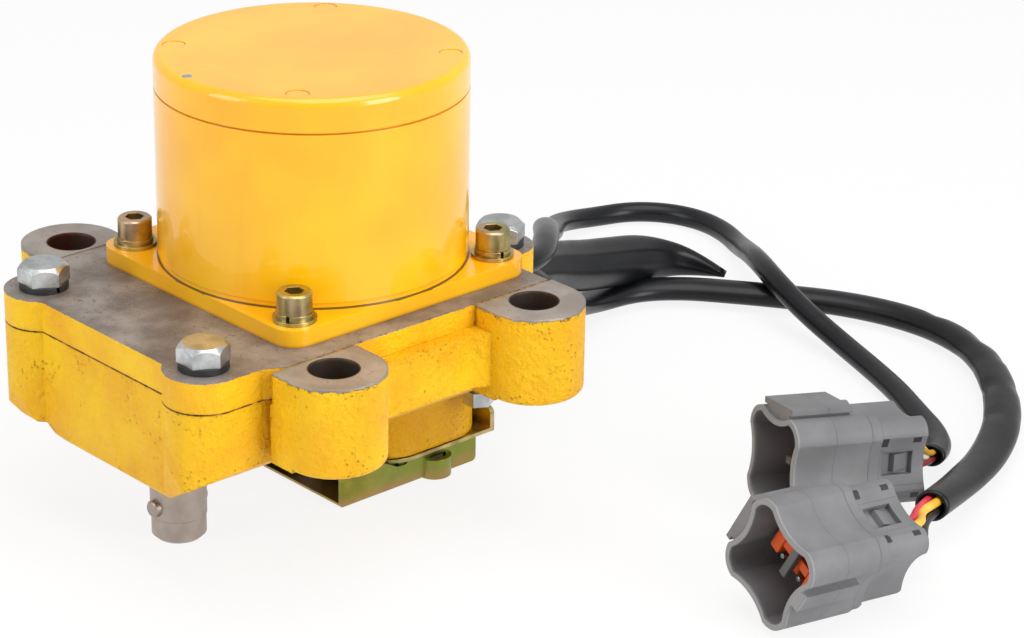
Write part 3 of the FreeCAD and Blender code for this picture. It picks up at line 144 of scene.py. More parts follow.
# %% The finish and its helpers
class Finish:
    def __init__(self, name, **constants):
        self.material = bpy.data.materials.new(name)
        self.material.use_nodes = True
        self.tree = self.material.node_tree
        self.shader = self.tree.nodes["Principled BSDF"]
        for socket, value in constants.items():
            self.shader.inputs[socket.replace("_", " ").title().replace("Ior", "IOR")].default_value = value
        self.place = self.add("ShaderNodeTexCoord", {}, {}, "Object")
        self.axes = {}

    def add(self, kind, settings, sockets, output=0):
        node = self.tree.nodes.new(kind)
        for name, value in settings.items():
            setattr(node, name, value)
        for name, value in sockets.items():
            if isinstance(value, Signal):
                self.tree.links.new(value.socket, node.inputs[name])
            else:
                node.inputs[name].default_value = value
        return Signal(self, node.outputs[output])

    def axis(self, name):
        if name not in self.axes:
            self.axes[name] = self.add("ShaderNodeSeparateXYZ", {}, {0: self.place}, name.upper())
        return self.axes[name]

    def stretched(self, x, y, z):
        """The object's coordinates, drawn out so that a pattern runs along one axis."""
        return self.add("ShaderNodeVectorMath", {"operation": "MULTIPLY"}, {0: self.place, 1: (x, y, z)})

    def noise(self, per_metre, detail=3.0, rough=0.55, place=None):
        sockets = {"Vector": place or self.place, "Scale": per_metre, "Detail": detail, "Roughness": rough}
        return self.add("ShaderNodeTexNoise", {}, sockets, 0)

    def cells(self, per_metre):
        sockets = {"Vector": self.place, "Scale": per_metre}
        return self.add("ShaderNodeTexVoronoi", {}, sockets, "Distance")

    def mix(self, amount, first, second):
        return self.add("ShaderNodeMix", {"data_type": "RGBA"}, {0: amount, 6: first, 7: second}, 2)

    def radius_from(self, x, y):
        """Distance from an upright line through (x, y)."""
        across = self.axis("x") - x
        along = self.axis("y") - y
        return (across * across + along * along) ** 0.5

    def bump(self, height, strength, distance, under=None):
        sockets = {"Height": height, "Strength": strength, "Distance": distance}
        if under is not None:
            sockets["Normal"] = under
        return self.add("ShaderNodeBump", {}, sockets, 0)

    def rounded(self, radius):
        """The normal of the surface as if its edges were rounded by that radius."""
        return self.add("ShaderNodeBevel", {"samples": 6}, {"Radius": radius}, 0)

    def join(self, **sockets):
        for name, value in sockets.items():
            socket = self.shader.inputs[name.replace("_", " ").title()]
            if isinstance(value, Signal):
                self.tree.links.new(value.socket, socket)
            else:
                socket.default_value = value
        return self.material


# %% [markdown]
# ## The cables
# Each cable follows a NURBS curve. Its control points are the route's points, written in millimetres:
# straight out of the rear wall, down to the floor, round in loose turns, and up to the plug. Order 3 is set
# after the points are there, because a spline with two points can't take it.

# %% Draw the routes
MOTOR_ROUTE = [
    (-6.15, 62.8, -18), (-6.15, 79, -18), (-8, 95, -27), (-14.5, 111, -39), (-24, 127, -51.5),
    (-33.5, 143, -61), (-40, 160, -65.7), (-38.5, 177, -65.7), (-29, 191, -65.7), (-15, 202, -65.7),
    (0, 213, -65.7), (16, 223, -65.7), (34, 229.5, -65.7), (54, 231, -65.7), (75, 225, -65.7),
    (96, 209, -65.7), (114, 189, -65.7), (127, 166, -65.7), (136, 143, -63.5), (142, 127, -61),
    (145.5, 117.5, -59.5),
]
SENSOR_ROUTE = [
    (6.15, 62.8, -18), (6.15, 77, -18), (3, 94, -19.5), (-14.2, 113, -21.8), (-38.3, 134.8, -30.9),
    (-60.3, 155.8, -46.9), (-79.3, 176.8, -57.1), (-93, 190.8, -61.5), (-99, 204, -65), (-99, 217, -66.9),
    (-95, 230.1, -66.9), (-85.3, 239.8, -66.9), (-72, 244.1, -66.9), (-58.1, 242.2, -66.9),
    (-44, 235, -66.2), (-29, 224, -61.2), (-14, 213, -57.2), (3, 204, -57.4), (21, 199.5, -61.5),
    (39, 197, -65.6), (56, 192, -66.9), (73, 185, -66.9), (88, 177, -66.9), (102, 169.5, -66.9),
    (113, 160, -66), (119.5, 147.5, -62),
]
MOTOR_CABLE_D = 0.0095
SENSOR_CABLE_D = 0.006


def route_curve(name, route, bevel):
    curve = bpy.data.curves.new(name, "CURVE")
    curve.dimensions = "3D"
    curve.resolution_u = 8
    curve.bevel_depth = bevel
    curve.bevel_resolution = 6
    curve.use_fill_caps = True
    spline = curve.splines.new("NURBS")
    spline.points.add(len(route) - 1)
    for point, (x, y, z) in zip(spline.points, route):
        point.co = (x * MM, y * MM, z * MM, 1.0)
    spline.order_u = 3
    spline.use_endpoint_u = True
    piece = bpy.data.objects.new(name, curve)
    bpy.context.scene.collection.objects.link(piece)
    return piece


# %% [markdown]
# The wires run in soft vinyl tubes that are wider than their wires, so they lie flattened and creased.
# A mesh tube shows that: a ring of points is carried along the curve's own line, and each ring gets its own
# width, height and dents. The line is read from the NURBS curve, so tube and route agree.


# %% Read the line of a route
def line_of(route):
    guide = route_curve("guide", route, 0.0)
    mesh = bpy.data.meshes.new_from_object(guide)
    line = [vertex.co.copy() for vertex in mesh.vertices]
    data = guide.data
    bpy.data.objects.remove(guide)
    bpy.data.curves.remove(data)
    bpy.data.meshes.remove(mesh)
    return line


def walked(line):
    """How far along the line each point lies."""
    far = [0.0]
    for a, b in zip(line, line[1:]):
        far.append(far[-1] + (b - a).length)
    return far


# %% Carry a soft section along a line
def soft_tube(name, line, section, sides=28, open_end=False):
    """section(t, angle) gives (across, up) of the wall at a share t of the length."""
    far = walked(line)
    points, faces = [], []
    for i, centre in enumerate(line):
        ahead = (line[min(i + 1, len(line) - 1)] - line[max(i - 1, 0)]).normalized()
        across = ahead.cross(Vector((0, 0, 1))).normalized()
        up = across.cross(ahead)
        for k in range(sides):
            angle = 2 * math.pi * k / sides
            a, u = section(far[i] / far[-1], angle)
            points.append(centre + across * a + up * u)
    for i in range(len(line) - 1):
        for k in range(sides):
            nxt = (k + 1) % sides
            faces.append((i * sides + k, (i + 1) * sides + k, (i + 1) * sides + nxt, i * sides + nxt))
    faces.append(tuple(range(sides)))
    last = (len(line) - 1) * sides
    if open_end:
        back = (line[-2] - line[-1]).normalized()
        for share, deep in ((0.80, 0.0), (0.76, 0.007)):
            start = len(points)
            for k in range(sides):
                points.append(line[-1] + (points[last + k] - line[-1]) * share + back * deep)
            before = start - sides
            for k in range(sides):
                nxt = (k + 1) % sides
                faces.append((before + k, start + k, start + nxt, before + nxt))
        last = len(points) - sides
    faces.append(tuple(last + k for k in reversed(range(sides))))
    mesh = bpy.data.meshes.new(name)
    mesh.from_pydata(points, [], faces)
    mesh.update()
    piece = bpy.data.objects.new(name, mesh)
    bpy.context.scene.collection.objects.link(piece)
    for polygon in mesh.polygons:
        polygon.use_smooth = True
    return piece


def ripple(t, places):
    """Sum of smooth dents: each is (place, width, depth)."""
    return sum(depth * math.exp(-((t - place) / width) ** 2) for place, width, depth in places)


# %% The motor cable's flattened tube
CREASES = [(0.600, 0.008, 1.0), (0.655, 0.012, 2.2), (0.690, 0.005, 1.4), (0.742, 0.009, 2.4),
           (0.800, 0.006, 1.2)]


def motor_section(t, angle):
    flat = 0.18 + 0.10 * math.sin(9 * t) + ripple(t, [(0.45, 0.12, 0.10)])
    flat *= min(1.0, t / 0.08) * min(1.0, (1.02 - t) / 0.10)
    half = MOTOR_CABLE_D / 2
    across = half * (1 + flat) * math.cos(angle)
    up = half * (1 - flat) * math.sin(angle)
    dent = ripple(t, CREASES) * MM * (0.5 + 0.5 * math.cos(2 * angle - 9 * t))
    return across - 0.12 * dent * math.cos(angle), up - dent * math.sin(angle) * (angle < math.pi)


motor_line = line_of(MOTOR_ROUTE)
motor_cord = soft_tube("motor_cord", motor_line, motor_section, open_end=True)


# %% The sensor cable's tube
def sensor_section(t, angle):
    half = SENSOR_CABLE_D / 2 + 0.0007 * min(1.0, t / 0.06)
    flat = 0.07 + 0.06 * math.sin(8 * t) + ripple(t, [(0.62, 0.02, 0.10), (0.93, 0.02, 0.12)])
    return half * (1 + flat) * math.cos(angle), half * (1 - flat) * math.sin(angle)


sensor_line = line_of(SENSOR_ROUTE)
sensor_cord = soft_tube("sensor_cord", sensor_line, sensor_section, open_end=True)
print("cords", round(walked(motor_line)[-1], 4), round(walked(sensor_line)[-1], 4), "m along their lines")

# %% [markdown]
# A spare length of the same vinyl sleeve lies against the motor cable, with its tip cut to a point. It is
# the same kind of tube, standing on its edge: broad where it starts, flat and narrow at the tip.

# %% The loose sleeve
SLEEVE_ROUTE = [(-6.5, 74, -18.5), (-8, 92, -25), (-15, 107, -32), (-22, 120, -36.5), (-29.5, 139, -44.5),
                (-37.5, 165, -52), (-42.5, 188, -58), (-38, 203, -61.5), (-27, 210, -65)]


def sleeve_section(t, angle):
    """Standing on its edge: narrow across, tall, with one fold, and cut to a point at the tip."""
    tall = 0.0052 + 0.0036 * min(1.0, t / 0.45)
    tall *= 1 - 0.90 * max(0.0, (t - 0.70) / 0.30) ** 2
    wide = 0.0052 * (1 - 0.55 * max(0.0, (t - 0.75) / 0.25))
    fold = 1 - 0.16 * math.exp(-((angle - 0.2) / 0.35) ** 2)
    return wide * math.cos(angle) * fold, tall * math.sin(angle)


loose_sleeve = soft_tube("loose_sleeve", line_of(SLEEVE_ROUTE), sleeve_section)
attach(loose_sleeve, "base")

# %% Put the cables in place of the model's tubes
for cord, tube in ((motor_cord, "motor_cable"), (sensor_cord, "sensor_cable")):
    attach(cord, "base")
    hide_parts(tube)


# %% [markdown]
# ## Yellow paint on rough castings
# The housing is sand cast and sprayed golden yellow. The cast skin shows as a fine grain, with pits and a
# few dark specks. The tops of the ears were milled after painting, so they are bare iron, and the paint's
# edge round them is ragged. Height alone finds those faces: on the housing the pads are the only faces at
# z = 0. A little noise on the height makes the edge ragged. The walls of the holes are found by their
# distance from the ears' middles, and are dark with rust. Scuffs gather under the joint and along the belly.


# %% Bare milled iron, as a colour and a roughness
EAR_PLACES = [(sx * 0.061, sy * 0.037) for sx in (-1, 1) for sy in (-1, 1)]


def milled_iron(finish):
    grain = finish.noise(2600, 4.0, 0.7)
    cloud = finish.noise(55, 3.0, 0.6)
    tone = finish.mix(cloud.step(0.35, 0.68), paint("70665F"), paint("9E958E"))
    tone = finish.mix(grain.step(0.52, 0.70) * 0.6, tone, paint("C4BCB4"))
    stain = finish.noise(380, 5.0, 0.8).step(0.56, 0.66) * cloud.step(0.38, 0.58)
    tone = finish.mix(stain * 0.75, tone, paint("3A2C22"))
    return tone, 0.36 + grain * 0.22 + stain * 0.2


# %% Cast yellow
SCUFF_Z = -0.0158
BELLY_Z = -0.0505
EAR_HOLE_R = 0.0071


def cast_yellow():
    finish = Finish("cast_yellow", ior=1.38)
    z = finish.axis("z")
    broad = finish.noise(38, 3.0, 0.6)
    skin = finish.noise(900, 5.0, 0.65)
    tone = finish.mix(broad.step(0.3, 0.72), paint("F2B000"), paint("FDCA00"))
    tone = finish.mix(skin.step(0.48, 0.75) * 0.35, tone, paint("FFD010"))
    pits = 1 - finish.cells(640).step(0.10, 0.26)
    pits = pits * finish.noise(90, 3.0).step(0.50, 0.64)
    tone = finish.mix(pits * 0.35, tone, paint("B0740A"))
    specks = finish.noise(620, 5.0, 0.75).step(0.67, 0.72) * finish.noise(70, 3.0).step(0.54, 0.64)
    tone = finish.mix(specks * 0.60, tone, paint("6E4E18"))
    scuffs = finish.noise(300, 5.0, 0.8, finish.stretched(1.0, 1.0, 2.6)).step(0.60, 0.68)
    band = 1 - (z - SCUFF_Z).size().step(0.0012, 0.0050)
    worn = band.higher(1 - (z - BELLY_Z).step(0.002, 0.012))
    tone = finish.mix(scuffs * worn * 0.40, tone, paint("6E5216"))
    # Below z = -0.030 the housing turns a deeper orange towards the bottom.
    low = 1 - z.step(-0.043, -0.030)
    tone = finish.mix(low * 0.25, tone, paint("D98F08"))
    ragged = z + (finish.noise(520, 4.0, 0.7) - 0.5) * 0.0022
    bare = ragged.step(-0.00072, -0.00048)
    wall = finish.radius_from(*EAR_PLACES[0])
    for place in EAR_PLACES[1:]:
        wall = wall.lower(finish.radius_from(*place))
    bore = 1 - wall.step(EAR_HOLE_R + 0.00015, EAR_HOLE_R + 0.0004)
    iron, iron_rough = milled_iron(finish)
    rust = finish.noise(330, 4.0, 0.7).step(0.42, 0.66)
    left = 1 - finish.axis("x").step(-0.050, -0.045)
    iron_dark = finish.mix(rust * (0.25 + left * 0.75), paint("4C443D"), paint("6E2A1C"))
    tone = finish.mix(bare, tone, finish.mix(0.30, iron, paint("C4BDB6")))
    tone = finish.mix(bore, tone, iron_dark)
    metal = bare.higher(bore)
    swell = finish.noise(95, 3.0, 0.6) * 3.0
    edge = 1 - (z + 0.0009).size().step(0.0002, 0.0009)
    rim = edge * (1 - bare) * finish.noise(420, 4.0, 0.7).step(0.52, 0.60)
    tone = finish.mix(rim * 0.8, tone, paint("5E4214"))
    relief = (skin * 0.8 - pits * 0.9 + finish.noise(300, 4.0, 0.6) * 1.4 + swell) * (1 - metal * 0.92)
    sand = finish.bump(relief, 0.9, 0.0012, finish.rounded(0.0013))
    rough = (0.34 + skin * 0.16) * (1 - metal) + metal * iron_rough
    return finish.join(base_color=tone, roughness=rough, metallic=metal * 0.55, normal=sand)


# %% [markdown]
# Housing and cover were painted together, so the paint has run over the edge of the gasket. Only a thin,
# ragged brown line of it is left, and in places the paint closes it.


# %% Painted joint
GASKET_Z = -0.0093


def painted_joint():
    finish = Finish("gasket_paper", ior=1.4)
    off_middle = (finish.axis("z") - GASKET_Z).size()
    ragged = off_middle + (finish.noise(700, 4.0, 0.7) - 0.5) * 0.0006
    gap = (1 - ragged.step(0.00012, 0.00024)) * finish.noise(150, 3.0, 0.6).step(0.34, 0.46)
    tone = finish.mix(finish.noise(400, 3.0).step(0.4, 0.6), paint("E0A408"), paint("C08408"))
    tone = finish.mix(gap, tone, paint("2E1E0C"))
    return finish.join(base_color=tone, roughness=0.5 + gap * 0.3, normal=finish.bump(1 - gap, 0.6, 0.0003))


# %% [markdown]
# The cover's top is one large milled face, with fine marks of the cutter, oil stains and dark specks. Its
# side is painted with the housing, and the paint ends in a ragged line just under the top edge.


# %% Cover plate
def cover_finish():
    finish = Finish("machined_iron", ior=1.4)
    z = finish.axis("z")
    iron, iron_rough = milled_iron(finish)
    skin = finish.noise(900, 5.0, 0.65)
    yellow = finish.mix(finish.noise(60).step(0.3, 0.7), paint("F2B000"), paint("FDCA00"))
    yellow = finish.mix(skin.step(0.5, 0.75) * 0.4, yellow, paint("FFD010"))
    ragged = z + (finish.noise(480, 4.0, 0.7) - 0.5) * 0.0010
    bare = ragged.step(-0.00032, -0.00012)
    marks = finish.noise(1500, 2.0, 0.5, finish.stretched(1.0, 0.03, 1.0))
    tone = finish.mix(marks.step(0.55, 0.75) * 0.25, iron, paint("A59A90"))
    tone = finish.mix(bare, yellow, tone)
    grain = finish.bump(skin + finish.noise(240, 4.0) * 1.8, 0.8, 0.0010, finish.rounded(0.0008))
    flat = finish.bump(marks + finish.noise(3000, 2.0), 0.10, 0.0001)
    normal = finish.add("ShaderNodeMix", {"data_type": "VECTOR"}, {0: bare, 4: grain, 5: flat}, 1)
    rough = 0.38 * (1 - bare) + bare * iron_rough
    return finish.join(base_color=tone, roughness=rough, metallic=bare * 0.5, normal=normal)


# %% [markdown]
# ## Gloss paint on the motor
# Can, lid and flange were sprayed with a gloss coat. Gloss paint shows three things close up: an orange-peel
# ripple about two millimetres wide, a few specks of dust, and slightly deeper colour where it ran. A clear
# coat on the shader gives the sharp highlight over the softer one of the pigment. A dark line marks the can's
# foot, and one chip on the lid shows grey primer.


# %% Motor paint
MOTOR_Y = 0.0058


def motor_yellow():
    finish = Finish("motor_yellow", coat_weight=0.7, coat_roughness=0.05, ior=1.38)
    z = finish.axis("z")
    broad = finish.noise(26, 2.0, 0.5)
    tone = finish.mix(broad.step(0.3, 0.7), paint("F6AE00"), paint("FEC000"))
    runs = finish.noise(180, 3.0, 0.6, finish.stretched(1.0, 1.0, 0.12)).step(0.55, 0.8)
    tone = finish.mix(runs * 0.15, tone, paint("E08E04"))
    # The bottom 1.2 mm of the flange is darker, a deeper orange.
    low = 1 - z.step(0.000, 0.0012)
    tone = finish.mix(low * 0.5, tone, paint("B4690A"))
    dust = (1 - finish.cells(150).step(0.022, 0.034)) * finish.noise(70, 2.0).step(0.55, 0.6)
    tone = finish.mix(dust * 0.85, tone, paint("6E4A12"))
    foot = finish.radius_from(0.0, MOTOR_Y).between(0.0449, 0.04545, 0.00012)
    foot = foot * z.between(0.0049, 0.0055, 0.0001)
    tone = finish.mix(foot * 0.85, tone, paint("4A3008"))
    chip_x, chip_y = finish.axis("x") + 0.0030, finish.axis("y") + 0.0362
    chip = (chip_x * chip_x + chip_y * chip_y) ** 0.5 + (finish.noise(900) - 0.5) * 0.0016
    chipped = (1 - chip.step(0.0013, 0.0016)) * z.step(0.0635, 0.0645)
    tone = finish.mix(chipped, tone, paint("7F8791"))
    peel = finish.bump(finish.noise(420, 2.0, 0.4) + dust * 0.6, 0.14, 0.0004, finish.rounded(0.0006))
    rough = 0.30 + finish.noise(300, 3.0).step(0.4, 0.8) * 0.08
    return finish.join(base_color=tone, roughness=rough, normal=peel)


# %% [markdown]
# ## Steel in its many finishes
# Zinc, passivated zinc, spring steel and bare turned steel differ in colour, in gloss and in which way their
# marks run. One function makes them all from two tones, a roughness and a direction of the marks. Passivated
# zinc also shimmers pink and green in broad patches. The guard turns pink along its bottom fold, and its
# inner side, under the boss, is painted nearly black as painted shade, for the shade that falls there.


# %% Steels
FLOOR_Z = -0.0705
GUARD_INNER_X = 0.0172


def steel(name, dark, light, rough, grain=(1.0, 1.0, 1.0), fine=1400, metal=1.0, tint=None, patches=95,
          spots=0.0, fold_tint_and_inner_shade=False):
    finish = Finish(name, ior=2.0)
    marks = finish.noise(fine, 3.0, 0.6, finish.stretched(*grain))
    cloud = finish.noise(130, 3.0, 0.6)
    tone = finish.mix(cloud.step(0.32, 0.68), paint(dark), paint(light))
    tone = finish.mix(marks.step(0.5, 0.8) * 0.30, tone, paint(light))
    if tint:
        bands = finish.noise(patches, 2.0, 0.45)
        tone = finish.mix(bands.step(0.42, 0.66) * 0.60, tone, paint(tint[0]))
        broader = finish.noise(patches * 0.63, 2.0, 0.5)
        tone = finish.mix(broader.step(0.45, 0.68) * 0.50, tone, paint(tint[1]))
    if spots:
        dirt = finish.noise(420, 4.0, 0.7).step(0.58, 0.70) * spots
        tone = finish.mix(dirt, tone, paint("2E2620"))
    if fold_tint_and_inner_shade:
        z = finish.axis("z")
        low = (1 - z.step(FLOOR_Z, FLOOR_Z + 0.005)) * finish.noise(40, 2.0).step(0.30, 0.60)
        tone = finish.mix(low * 0.8, tone, paint("BC8662"))
        # Painted shade: the guard's inner side under the boss is painted nearly black, standing in for the
        # shade there.
        walls = finish.axis("x").size().step(GUARD_INNER_X, GUARD_INNER_X + 0.0006)
        deep = (1 - walls) * z.step(FLOOR_Z + 0.0013, FLOOR_Z + 0.0017)
        tone = finish.mix(deep * 0.88, tone, paint("14110C"))
    wavy = finish.bump(marks + cloud * 0.5, 0.14, 0.0002, finish.rounded(0.0003))
    return finish.join(base_color=tone, metallic=metal, roughness=marks * 0.16 + rough, normal=wavy)


# %% [markdown]
# ## Moulded plastic, rubber and vinyl
# Plastic housings have a spark-eroded skin: a very fine, even grain that keeps them matt. Vinyl is smoother
# and glossier. The same helper makes both, from a tone, a grain and a roughness.


# %% Soft and moulded materials
def moulded(name, dark, light, rough, grain=2200, depth=0.25, coat=0.0, dust=0.25, dust_tone="B9B4AC",
            ior=1.48):
    finish = Finish(name, ior=ior, coat_weight=coat, coat_roughness=0.20)
    fine = finish.noise(grain, 3.0, 0.6)
    broad = finish.noise(70, 3.0, 0.55)
    tone = finish.mix(broad.step(0.3, 0.7), paint(dark), paint(light))
    lint = (1 - finish.cells(520).step(0.03, 0.06)) * finish.noise(160, 2.0).step(0.50, 0.62)
    tone = finish.mix(lint * dust, tone, paint(dust_tone))
    surface = finish.bump(fine + broad * 0.4, depth, 0.0002)
    return finish.join(base_color=tone, roughness=fine * 0.14 + rough, normal=surface)


# %% [markdown]
# ## Inside the can
# The coils and the cores only show when the can is taken off. Wound copper is many thin strands side by side
# under varnish, so its noise is drawn out along the wire. A core is a stack of thin sheets, which a sine of
# the height draws as fine level lines.


# %% Wound copper
def copper_coil():
    finish = Finish("copper_coil", ior=1.6)
    strands = finish.noise(900, 1.0, 0.4, finish.stretched(0.15, 0.15, 4.0))
    tone = finish.mix(strands.step(0.4, 0.6), paint("5A2410"), paint("B4602C"))
    varnish = finish.noise(90, 3.0).step(0.5, 0.7)
    tone = finish.mix(varnish * 0.4, tone, paint("7A3A12"))
    return finish.join(base_color=tone, metallic=0.7, roughness=0.3 + strands * 0.2,
                       normal=finish.bump(strands, 0.5, 0.0004))


# %% Stacked laminations
def lamination():
    finish = Finish("lamination", ior=1.8)
    sheets = finish.axis("z").maths("SINE", finish.axis("z") * 12566.0)
    tone = finish.mix(sheets.step(-0.4, 0.6), paint("3C3E42"), paint("777A80"))
    return finish.join(base_color=tone, metallic=0.85, roughness=0.42 + finish.noise(600) * 0.15,
                       normal=finish.bump(sheets, 0.3, 0.0002))


# %% [markdown]
# ## Which slot gets which finish
# The frame's record names a material slot for every node, so the finishes are made once, by slot. The guard
# gets a finish of its own.

# %% Make the finishes
FINISHES = {
    "cast_yellow": cast_yellow(),
    "machined_iron": cover_finish(),
    "motor_yellow": motor_yellow(),
    "zinc_steel": steel("zinc_steel", "A9ACAE", "D2D3D2", 0.26, spots=0.25),
    "passivated_steel": steel("passivated_steel", "8F8250", "C9B878", 0.24, tint=("C7A092", "8C9A5E")),
    "spring_steel": steel("spring_steel", "17171A", "2C2C30", 0.42, metal=0.6),
    "shaft_steel": steel("shaft_steel", "A0938A", "AEA197", 0.34, (1.0, 1.0, 14.0), 500),
    "gear_steel": steel("gear_steel", "6E7073", "9A9C9E", 0.28, (1.0, 1.0, 0.1)),
    "lamination": lamination(),
    "copper_coil": copper_coil(),
    "bearing_steel": steel("bearing_steel", "8D9196", "C4C8CC", 0.18, (1.0, 1.0, 5.0)),
    "bronze": steel("bronze", "8A5F2A", "B98745", 0.38, spots=0.3),
    "gasket_paper": painted_joint(),
    "black_rubber": moulded("black_rubber", "1A1A1B", "26262A", 0.6, 1200, 0.4),
    "sensor_plastic": moulded("sensor_plastic", "1E1F22", "2A2B2F", 0.5),
    "cable_vinyl": moulded("cable_vinyl", "0B0C0E", "131418", 0.27, 300, 0.03, coat=0.08, dust=0.06,
                           ior=1.33),
    "plug_grey": moulded("plug_grey", "666668", "737375", 0.52, 2600, 0.22, dust=0.15, dust_tone="A8A8A8"),
    "wedge_orange": moulded("wedge_orange", "C43F10", "DE5A1A", 0.42, 1800, 0.15, dust=0.0),
    "pin_metal": steel("pin_metal", "A8A9AB", "D8D9DA", 0.2),
    "guard_steel": steel("guard_steel", "7E7C30", "9C9440", 0.26, tint=("A08C58", "74903C"), fold_tint_and_inner_shade=True,
                         patches=32),
    "wire_insulation": moulded("wire_insulation", "B01E24", "C8353A", 0.4, 800, 0.15, dust=0.0),
}
print("finishes", len(FINISHES))

# %% [markdown]
# ## The plugs
# Each plug is one grey moulding. Two thin witness lines run round it and two seams run along its rear, where
# the parts of the mould met. Four slots at its latch are painted dark as painted shade in their recesses, its
# mouth has a paler rim that is a painted highlight, and its skin is matt. A plug lies at an angle, so its
# lines are found by distances across, along and over it, which dot products with its own axes give.

# %% Where each plug lies
def plug_place(mouth, yaw, roll):
    turn = Matrix.Rotation(math.radians(yaw - 90), 4, "Z") @ Matrix.Rotation(math.radians(-4.9), 4, "X")
    return Matrix.Translation(mouth) @ turn @ Matrix.Rotation(math.radians(roll), 4, "Y")


MOTOR_PLUG = plug_place((0.1519, 0.0415, -0.0512), 83.6, -62)
SENSOR_PLUG = plug_place((0.1047, 0.0930, -0.0537), 70, -8)


def in_plug(finish, plug):
    """Distances across, along and over the plug, in its own axes."""
    away = finish.add("ShaderNodeVectorMath", {"operation": "SUBTRACT"},
                      {0: finish.place, 1: plug.translation})
    return [finish.add("ShaderNodeVectorMath", {"operation": "DOT_PRODUCT"},
                       {0: away, 1: plug.col[k].to_3d()}, "Value") for k in range(3)]


def plug_finish(name, plug):
    finish = Finish(name, ior=1.5)
    across, along, over = in_plug(finish, plug)
    line = along.between(0.0128, 0.0129, 0.00012).higher(along.between(0.0247, 0.0249, 0.0002))
    off = over.size()
    seam = off.between(0.0052, 0.00525, 0.00010) * along.step(0.0286, 0.0288)
    line = line.higher(seam)
    # Painted shade: the four slot places at the latch are painted near black for the shade inside the
    # recesses.
    slot_shade_front = off.between(0.0068, 0.0094, 0.00015) * along.between(0.0292, 0.0314, 0.00015)
    slot_shade_rear = off.between(0.0076, 0.0092, 0.00015) * along.between(0.0398, 0.0424, 0.00015)
    dark = slot_shade_front.higher(slot_shade_rear) * across.step(0.0082, 0.0084)
    fine = finish.noise(2600, 3.0, 0.6)
    tone = finish.mix(finish.noise(60, 3.0).step(0.3, 0.7), paint("6A6A6C"), paint("78787A"))
    tone = finish.mix(line * 0.35, tone, paint("48484A"))
    # Painted highlight: a paler band along the rim of the mouth.
    tone = finish.mix((1 - along.step(0.0004, 0.0009)) * 0.5, tone, paint("9A9A9C"))
    tone = finish.mix(dark * 0.92, tone, paint("18181A"))
    relief = finish.bump(fine * 0.3 - line - dark * 2, 0.5, 0.0002, finish.rounded(0.0005))
    return finish.join(base_color=tone, roughness=fine * 0.12 + 0.50, normal=relief)


# %% [markdown]
# Inside the mouth an orange lock stands round the pins, with an arm on either side, and a grey finger
# crosses in front of it. The arm is modelled once, as a block with soft edges, and copied for the others.


# %% Arms and fingers
def soft_block(name, low, high, edge, material):
    bpy.ops.object.select_all(action="DESELECT")
    bpy.ops.mesh.primitive_cube_add(size=1.0, location=(0, 0, 0))
    piece = bpy.context.active_object
    piece.name = name
    bpy.ops.object.mode_set(mode="EDIT")
    bpy.ops.mesh.select_all(action="SELECT")
    bpy.ops.transform.resize(value=[b - a for a, b in zip(low, high)])
    bpy.ops.transform.translate(value=[(a + b) / 2 for a, b in zip(low, high)])
    bpy.ops.object.mode_set(mode="OBJECT")
    bevel = piece.modifiers.new("soft_edges", "BEVEL")
    bevel.width = edge
    bevel.segments = 3
    bpy.ops.object.modifier_apply(modifier=bevel.name)
    piece.data.materials.append(material)
    return piece


def copied(piece, name, place):
    twin = piece.copy()
    twin.data = piece.data.copy()
    twin.name = name
    twin.data.transform(place)
    bpy.context.scene.collection.objects.link(twin)
    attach(twin, "base")
    return twin


lock_orange = moulded("lock_orange", "C8400C", "E2601C", 0.40, 1800, 0.15, dust=0.0)
finger_grey = moulded("finger_grey", "545456", "626264", 0.5, 2200, 0.2, dust=0.0)
arm = soft_block("arm", (-0.0042, 0.0092, 0.0060), (0.0042, 0.0208, 0.0098), 0.0006, lock_orange)
finger = soft_block("finger", (-0.0056, 0.0074, -0.0013), (0.0056, 0.0099, 0.0013), 0.0004, finger_grey)
half_turn = Matrix.Rotation(math.pi, 4, "Y")
for plug_name, plug in (("motor", MOTOR_PLUG), ("sensor", SENSOR_PLUG)):
    arms = [copied(arm, plug_name + "_lock_arm_1", plug),
            copied(arm, plug_name + "_lock_arm_2", plug @ half_turn)]
    cross = copied(finger, plug_name + "_plug_finger", plug)
for piece in (arm, finger):
    bpy.data.objects.remove(piece)

# %% Finishes of the two shells
PLUG_FINISHES = {
    "motor_plug": plug_finish("motor_plug_grey", MOTOR_PLUG),
    "sensor_plug": plug_finish("sensor_plug_grey", SENSOR_PLUG),
}

# %% Put them on the nodes
slots = {part["node"]: part["material_slot"] for part in frame["record"]["subparts"]}
for name, node in nodes.items():
    chosen = PLUG_FINISHES.get(name, FINISHES[slots[name]])
    if name == "guard_bracket":
        chosen = FINISHES["guard_steel"]
    if name.endswith("_gland"):
        chosen = FINISHES["cable_vinyl"]
    node.data.materials.clear()
    node.data.materials.append(chosen)
for tube in (motor_cord, loose_sleeve, sensor_cord):
    tube.data.materials.append(FINISHES["cable_vinyl"])
print("dressed", len(nodes), "nodes")

# %% [markdown]
# ## The wires at the plugs
# Between the end of each cable and its plug a few single wires show, each in its own colour. Every wire is
# a short NURBS curve: out of the rubber seal along the plug's axis, and into the cable along the cable's own
# end. They are drawn here rather than taken from the model, so that each has its own colour.


# %% Single wires
PLUG_REAR = 0.0455
WIRE_RING = 0.0034


